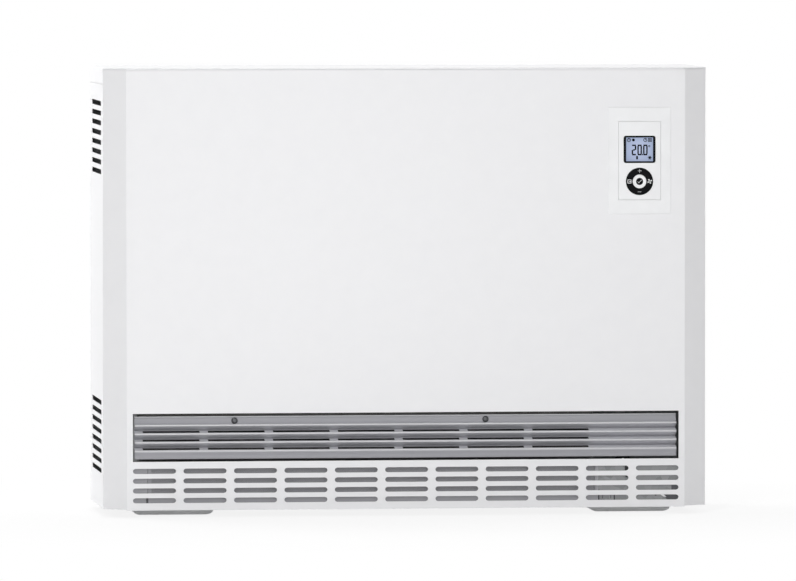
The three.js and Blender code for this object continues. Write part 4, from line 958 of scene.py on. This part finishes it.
# %% Make the end plate
PLATE_Y = filter_low.y
PLATE_OUTLINE = ((281.0, 77.0), (408.0, 77.0), (408.0, 48.0), (388.5, 48.0), (388.5, 35.0),
                 (371.0, 35.0), (382.0, 21.0), (382.0, 16.0), (281.0, 16.0))
SHADE_OUTLINE = ((362.0, 50.0), (408.0, 50.0), (408.0, 15.0), (362.0, 15.0))
HIGHLIGHT_TAB_OUTLINE = ((369.3, 30.4), (373.4, 31.8), (381.2, 24.6), (376.6, 25.2))


def sheet(name, outline, slot, y):
    """A plate with this outline, in mm."""
    work = bmesh.new()
    work.faces.new([work.verts.new((x * MM, 0.0, z * MM)) for x, z in outline])
    plate(name, work, slot, "casing", y)


# Painted shade: a dark sheet behind the cut corner.
sheet("end_plate_shade", SHADE_OUTLINE, "dark_steel", PLATE_Y + 2 * MARK)
sheet("end_plate", PLATE_OUTLINE, "galvanised", PLATE_Y)
# Painted highlight: a white tab where a line of light falls.
sheet("end_tab_highlight", HIGHLIGHT_TAB_OUTLINE, "white_plastic", PLATE_Y - MARK)
# Painted shade: dark rubber marks in the notches, gaps and hole of the end plate.
SHADE_ROW, SHADE_HEIGHT = 26.5, 18.0
shade_strips = bmesh.new()
for x, z, height in ((323.5, 69.5, 12.0), (324.5, 57.0, 7.0)):
    stroke(shade_strips, x, z, 7.0, height)
for x in (281.8, 304.6):
    stroke(shade_strips, x, SHADE_ROW, 1.7, SHADE_HEIGHT)
for x in (287.4, 299.4):  # the legs of the bracket, and its bar
    stroke(shade_strips, x, 26.0, 0.8, 6.0)
stroke(shade_strips, 293.4, 29.4, 11.0, 0.8)
dot(shade_strips, 365.5, 27.5, 1.2, 12)
plate("plate_shade_marks", shade_strips, "rubber", "casing", PLATE_Y - MARK)
# Painted shade: two dark lines for the shadow gap beside the guide.
shade_strips = bmesh.new()
stroke(shade_strips, -378.4, SHADE_ROW, 1.0, SHADE_HEIGHT)
stroke(shade_strips, -376.6, SHADE_ROW, 1.4, SHADE_HEIGHT)
plate("guide_shade_lines", shade_strips, "rubber", "casing", filter_low.y - GUIDE_SHEET / 2)

# %% [markdown]
# ## The screws of the grille
# Two screws hold the grille. Each head is low, with a rounded rim and a cross recess for the
# driver. The recess is cut with a cross of two blades, because it has sharp walls that no
# bevel gives.

# %% Make a screw head with a cross recess
RECESS_LENGTH, RECESS_WIDTH, RECESS_DEPTH = 5.0, 1.15, 1.5
HEAD_RADIUS, HEAD_EDGE_LENGTH = 0.25, 0.5


def cross_cutter(place, front):
    """An object of two crossed blades that reach into a head from its front."""
    work = bmesh.new()
    for length, width in ((RECESS_LENGTH, RECESS_WIDTH), (RECESS_WIDTH, RECESS_LENGTH)):
        made = bmesh.ops.create_cube(work, size=1.0)["verts"]
        bmesh.ops.scale(work, verts=made, vec=(length * MM, 2 * RECESS_DEPTH * MM, width * MM))
    bmesh.ops.translate(work, verts=work.verts, vec=(place.x, front, place.z))
    mesh = bpy.data.meshes.new("cutter")
    work.to_mesh(mesh)
    work.free()
    cutter = bpy.data.objects.new("cutter", mesh)
    bpy.context.scene.collection.objects.link(cutter)
    return cutter


def cut_away(made, cutter):
    """Cuts one object out of another and removes the cutter."""
    change = made.modifiers.new("recess", "BOOLEAN")
    change.operation = "DIFFERENCE"
    change.solver = "EXACT"
    change.use_self = True
    change.object = cutter
    bpy.context.view_layer.update()
    shape = made.evaluated_get(bpy.context.evaluated_depsgraph_get())
    mesh = bpy.data.meshes.new_from_object(shape)
    made.modifiers.clear()
    made.data = mesh
    bpy.data.objects.remove(cutter)


for side in ("left", "right"):
    node = "grille_screw_" + side
    work = joined_copy(node)
    edges = sharp_edges(work, SQUARE, lambda edge: edge.calc_length() > HEAD_EDGE_LENGTH * MM)
    round_off(work, edges, HEAD_RADIUS, segments=2)
    low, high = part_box(node)
    screw = piece("screw_" + side, work, "dark_steel", "casing", node)
    cut_away(screw, cross_cutter((low + high) / 2, low.y))
    print(screw.name, "cut, now", len(screw.data.polygons), "faces")

# %% [markdown]
# ## The floor and the white room
# The photograph has a white ground. The floor is a pale disc that keeps the heater's shadow,
# and further out it turns into plain white, so that no horizon shows. The world is white for
# the camera and for reflections, and dim for lighting, so that the lamps shape the object.

# %% Tell rays that are looked along from rays that carry light
WHITE = (1.0, 1.0, 1.0, 1.0)


def seen_rays(start):
    """1 for rays of the camera, in mirrors and through glass, and 0 for all others."""
    camera_rays, mirrored, through = (
        start.node("ShaderNodeLightPath", output=f"Is {kind} Ray")
        for kind in ("Camera", "Glossy", "Transmission"))
    return camera_rays.sum("MAXIMUM", camera_rays, mirrored.sum("MAXIMUM", mirrored, through))


# %% Floor
FLOOR_RADIUS = 6.0
SHADOW_CORE, SHADOW_RADIUS = 0.45, 0.9  # inside the first the shadow has its full strength
SHADOW_WHITE = 0.86  # how white the floor is there by itself
work = bmesh.new()
bmesh.ops.create_circle(work, cap_ends=True, segments=96, radius=FLOOR_RADIUS)
mesh = bpy.data.meshes.new("floor")
work.to_mesh(mesh)
work.free()
floor = bpy.data.objects.new("floor", mesh)
bpy.context.scene.collection.objects.link(floor)

ground = bpy.data.materials.new("ground")
ground.use_nodes = True
ground.node_tree.nodes.clear()
start = Wire(ground.node_tree)
place = start.node("ShaderNodeTexCoord", output="Object")
far = place.node("ShaderNodeVectorMath", {"operation": "LENGTH"}, {0: place}, "Value")
matt = start.node("ShaderNodeBsdfDiffuse", {}, {"Color": (0.95, 0.95, 0.95, 1.0)})
white = start.node("ShaderNodeEmission", {}, {"Color": WHITE, "Strength": 1.0})
shining = seen_rays(start) * passage(far, SHADOW_CORE, SHADOW_RADIUS, SHADOW_WHITE)
blend = start.node("ShaderNodeMixShader", {}, {0: shining, 1: matt, 2: white})
start.node("ShaderNodeOutputMaterial", {}, {"Surface": blend})
floor.data.materials.append(ground)
print("floor of", FLOOR_RADIUS, "m, with a shadow inside", SHADOW_RADIUS, "m")

# %% World
DIM = 0.13  # how brightly the room lights the heater
world = bpy.data.worlds.new("white_room")
bpy.context.scene.world = world
world.use_nodes = True
world.node_tree.nodes.clear()
start = Wire(world.node_tree)
dim = start.node("ShaderNodeBackground", {}, {"Color": WHITE, "Strength": DIM})
bright = start.node("ShaderNodeBackground", {}, {"Color": WHITE, "Strength": 1.0})
blend = start.node("ShaderNodeMixShader", {}, {0: seen_rays(start), 1: dim, 2: bright})
start.node("ShaderNodeOutputWorld", {}, {"Surface": blend})
print("world lights at", DIM)

# %% [markdown]
# ## Lamps
# One lamp above and left of the camera gives the louvres and the control panel their shadows,
# a broad one in front fills them, and a small one near the floor reaches the feet under the
# front panel. A large lamp behind at the left makes the left side the brightest surface, as in
# the photograph. Two more lift the lid, the back and the right, so that the heater looks right
# from every side. The power that a lamp needs grows with the square of its distance, so each
# is given by the brightness that it makes on a white card.

# %% Soft lamps
LAMP_TARGET = Vector((0.0, 0.0, 0.33))


def lamp(name, azimuth, elevation, distance, size, brightness):
    """A square lamp. Azimuth 0 is in front of the heater, and 90 at its left."""
    a, e = math.radians(azimuth), math.radians(elevation)
    out = Vector((-math.sin(a) * math.cos(e), -math.cos(a) * math.cos(e), math.sin(e)))
    light = bpy.data.lights.new(name, "AREA")
    light.shape = "SQUARE"
    light.size = size
    light.energy = brightness * (math.pi * distance) ** 2
    made = bpy.data.objects.new(name, light)
    made.location = LAMP_TARGET + out * distance
    made.rotation_mode = "QUATERNION"
    made.rotation_quaternion = (-out).to_track_quat("-Z", "Y")
    bpy.context.scene.collection.objects.link(made)
    print(name, "gives", round(light.energy), "W")


lamp("high_lamp", 17.0, 36.0, 4.5, 0.8, 0.34)
lamp("front_lamp", -2.0, 5.0, 3.0, 1.6, 0.13)
lamp("low_lamp", 0.0, -4.0, 2.6, 0.3, 0.13)
lamp("left_rear_lamp", 130.0, 20.0, 4.0, 2.0, 0.63)
lamp("right_rear_lamp", 235.0, 30.0, 4.5, 2.5, 0.40)
lamp("top_lamp", 150.0, 72.0, 3.0, 1.6, 0.31)

# %% [markdown]
# ## The view transform
# The view transform is Standard, so that a colour renders as it is written.

# %% Set the view transform
bpy.context.scene.view_settings.view_transform = "Standard"
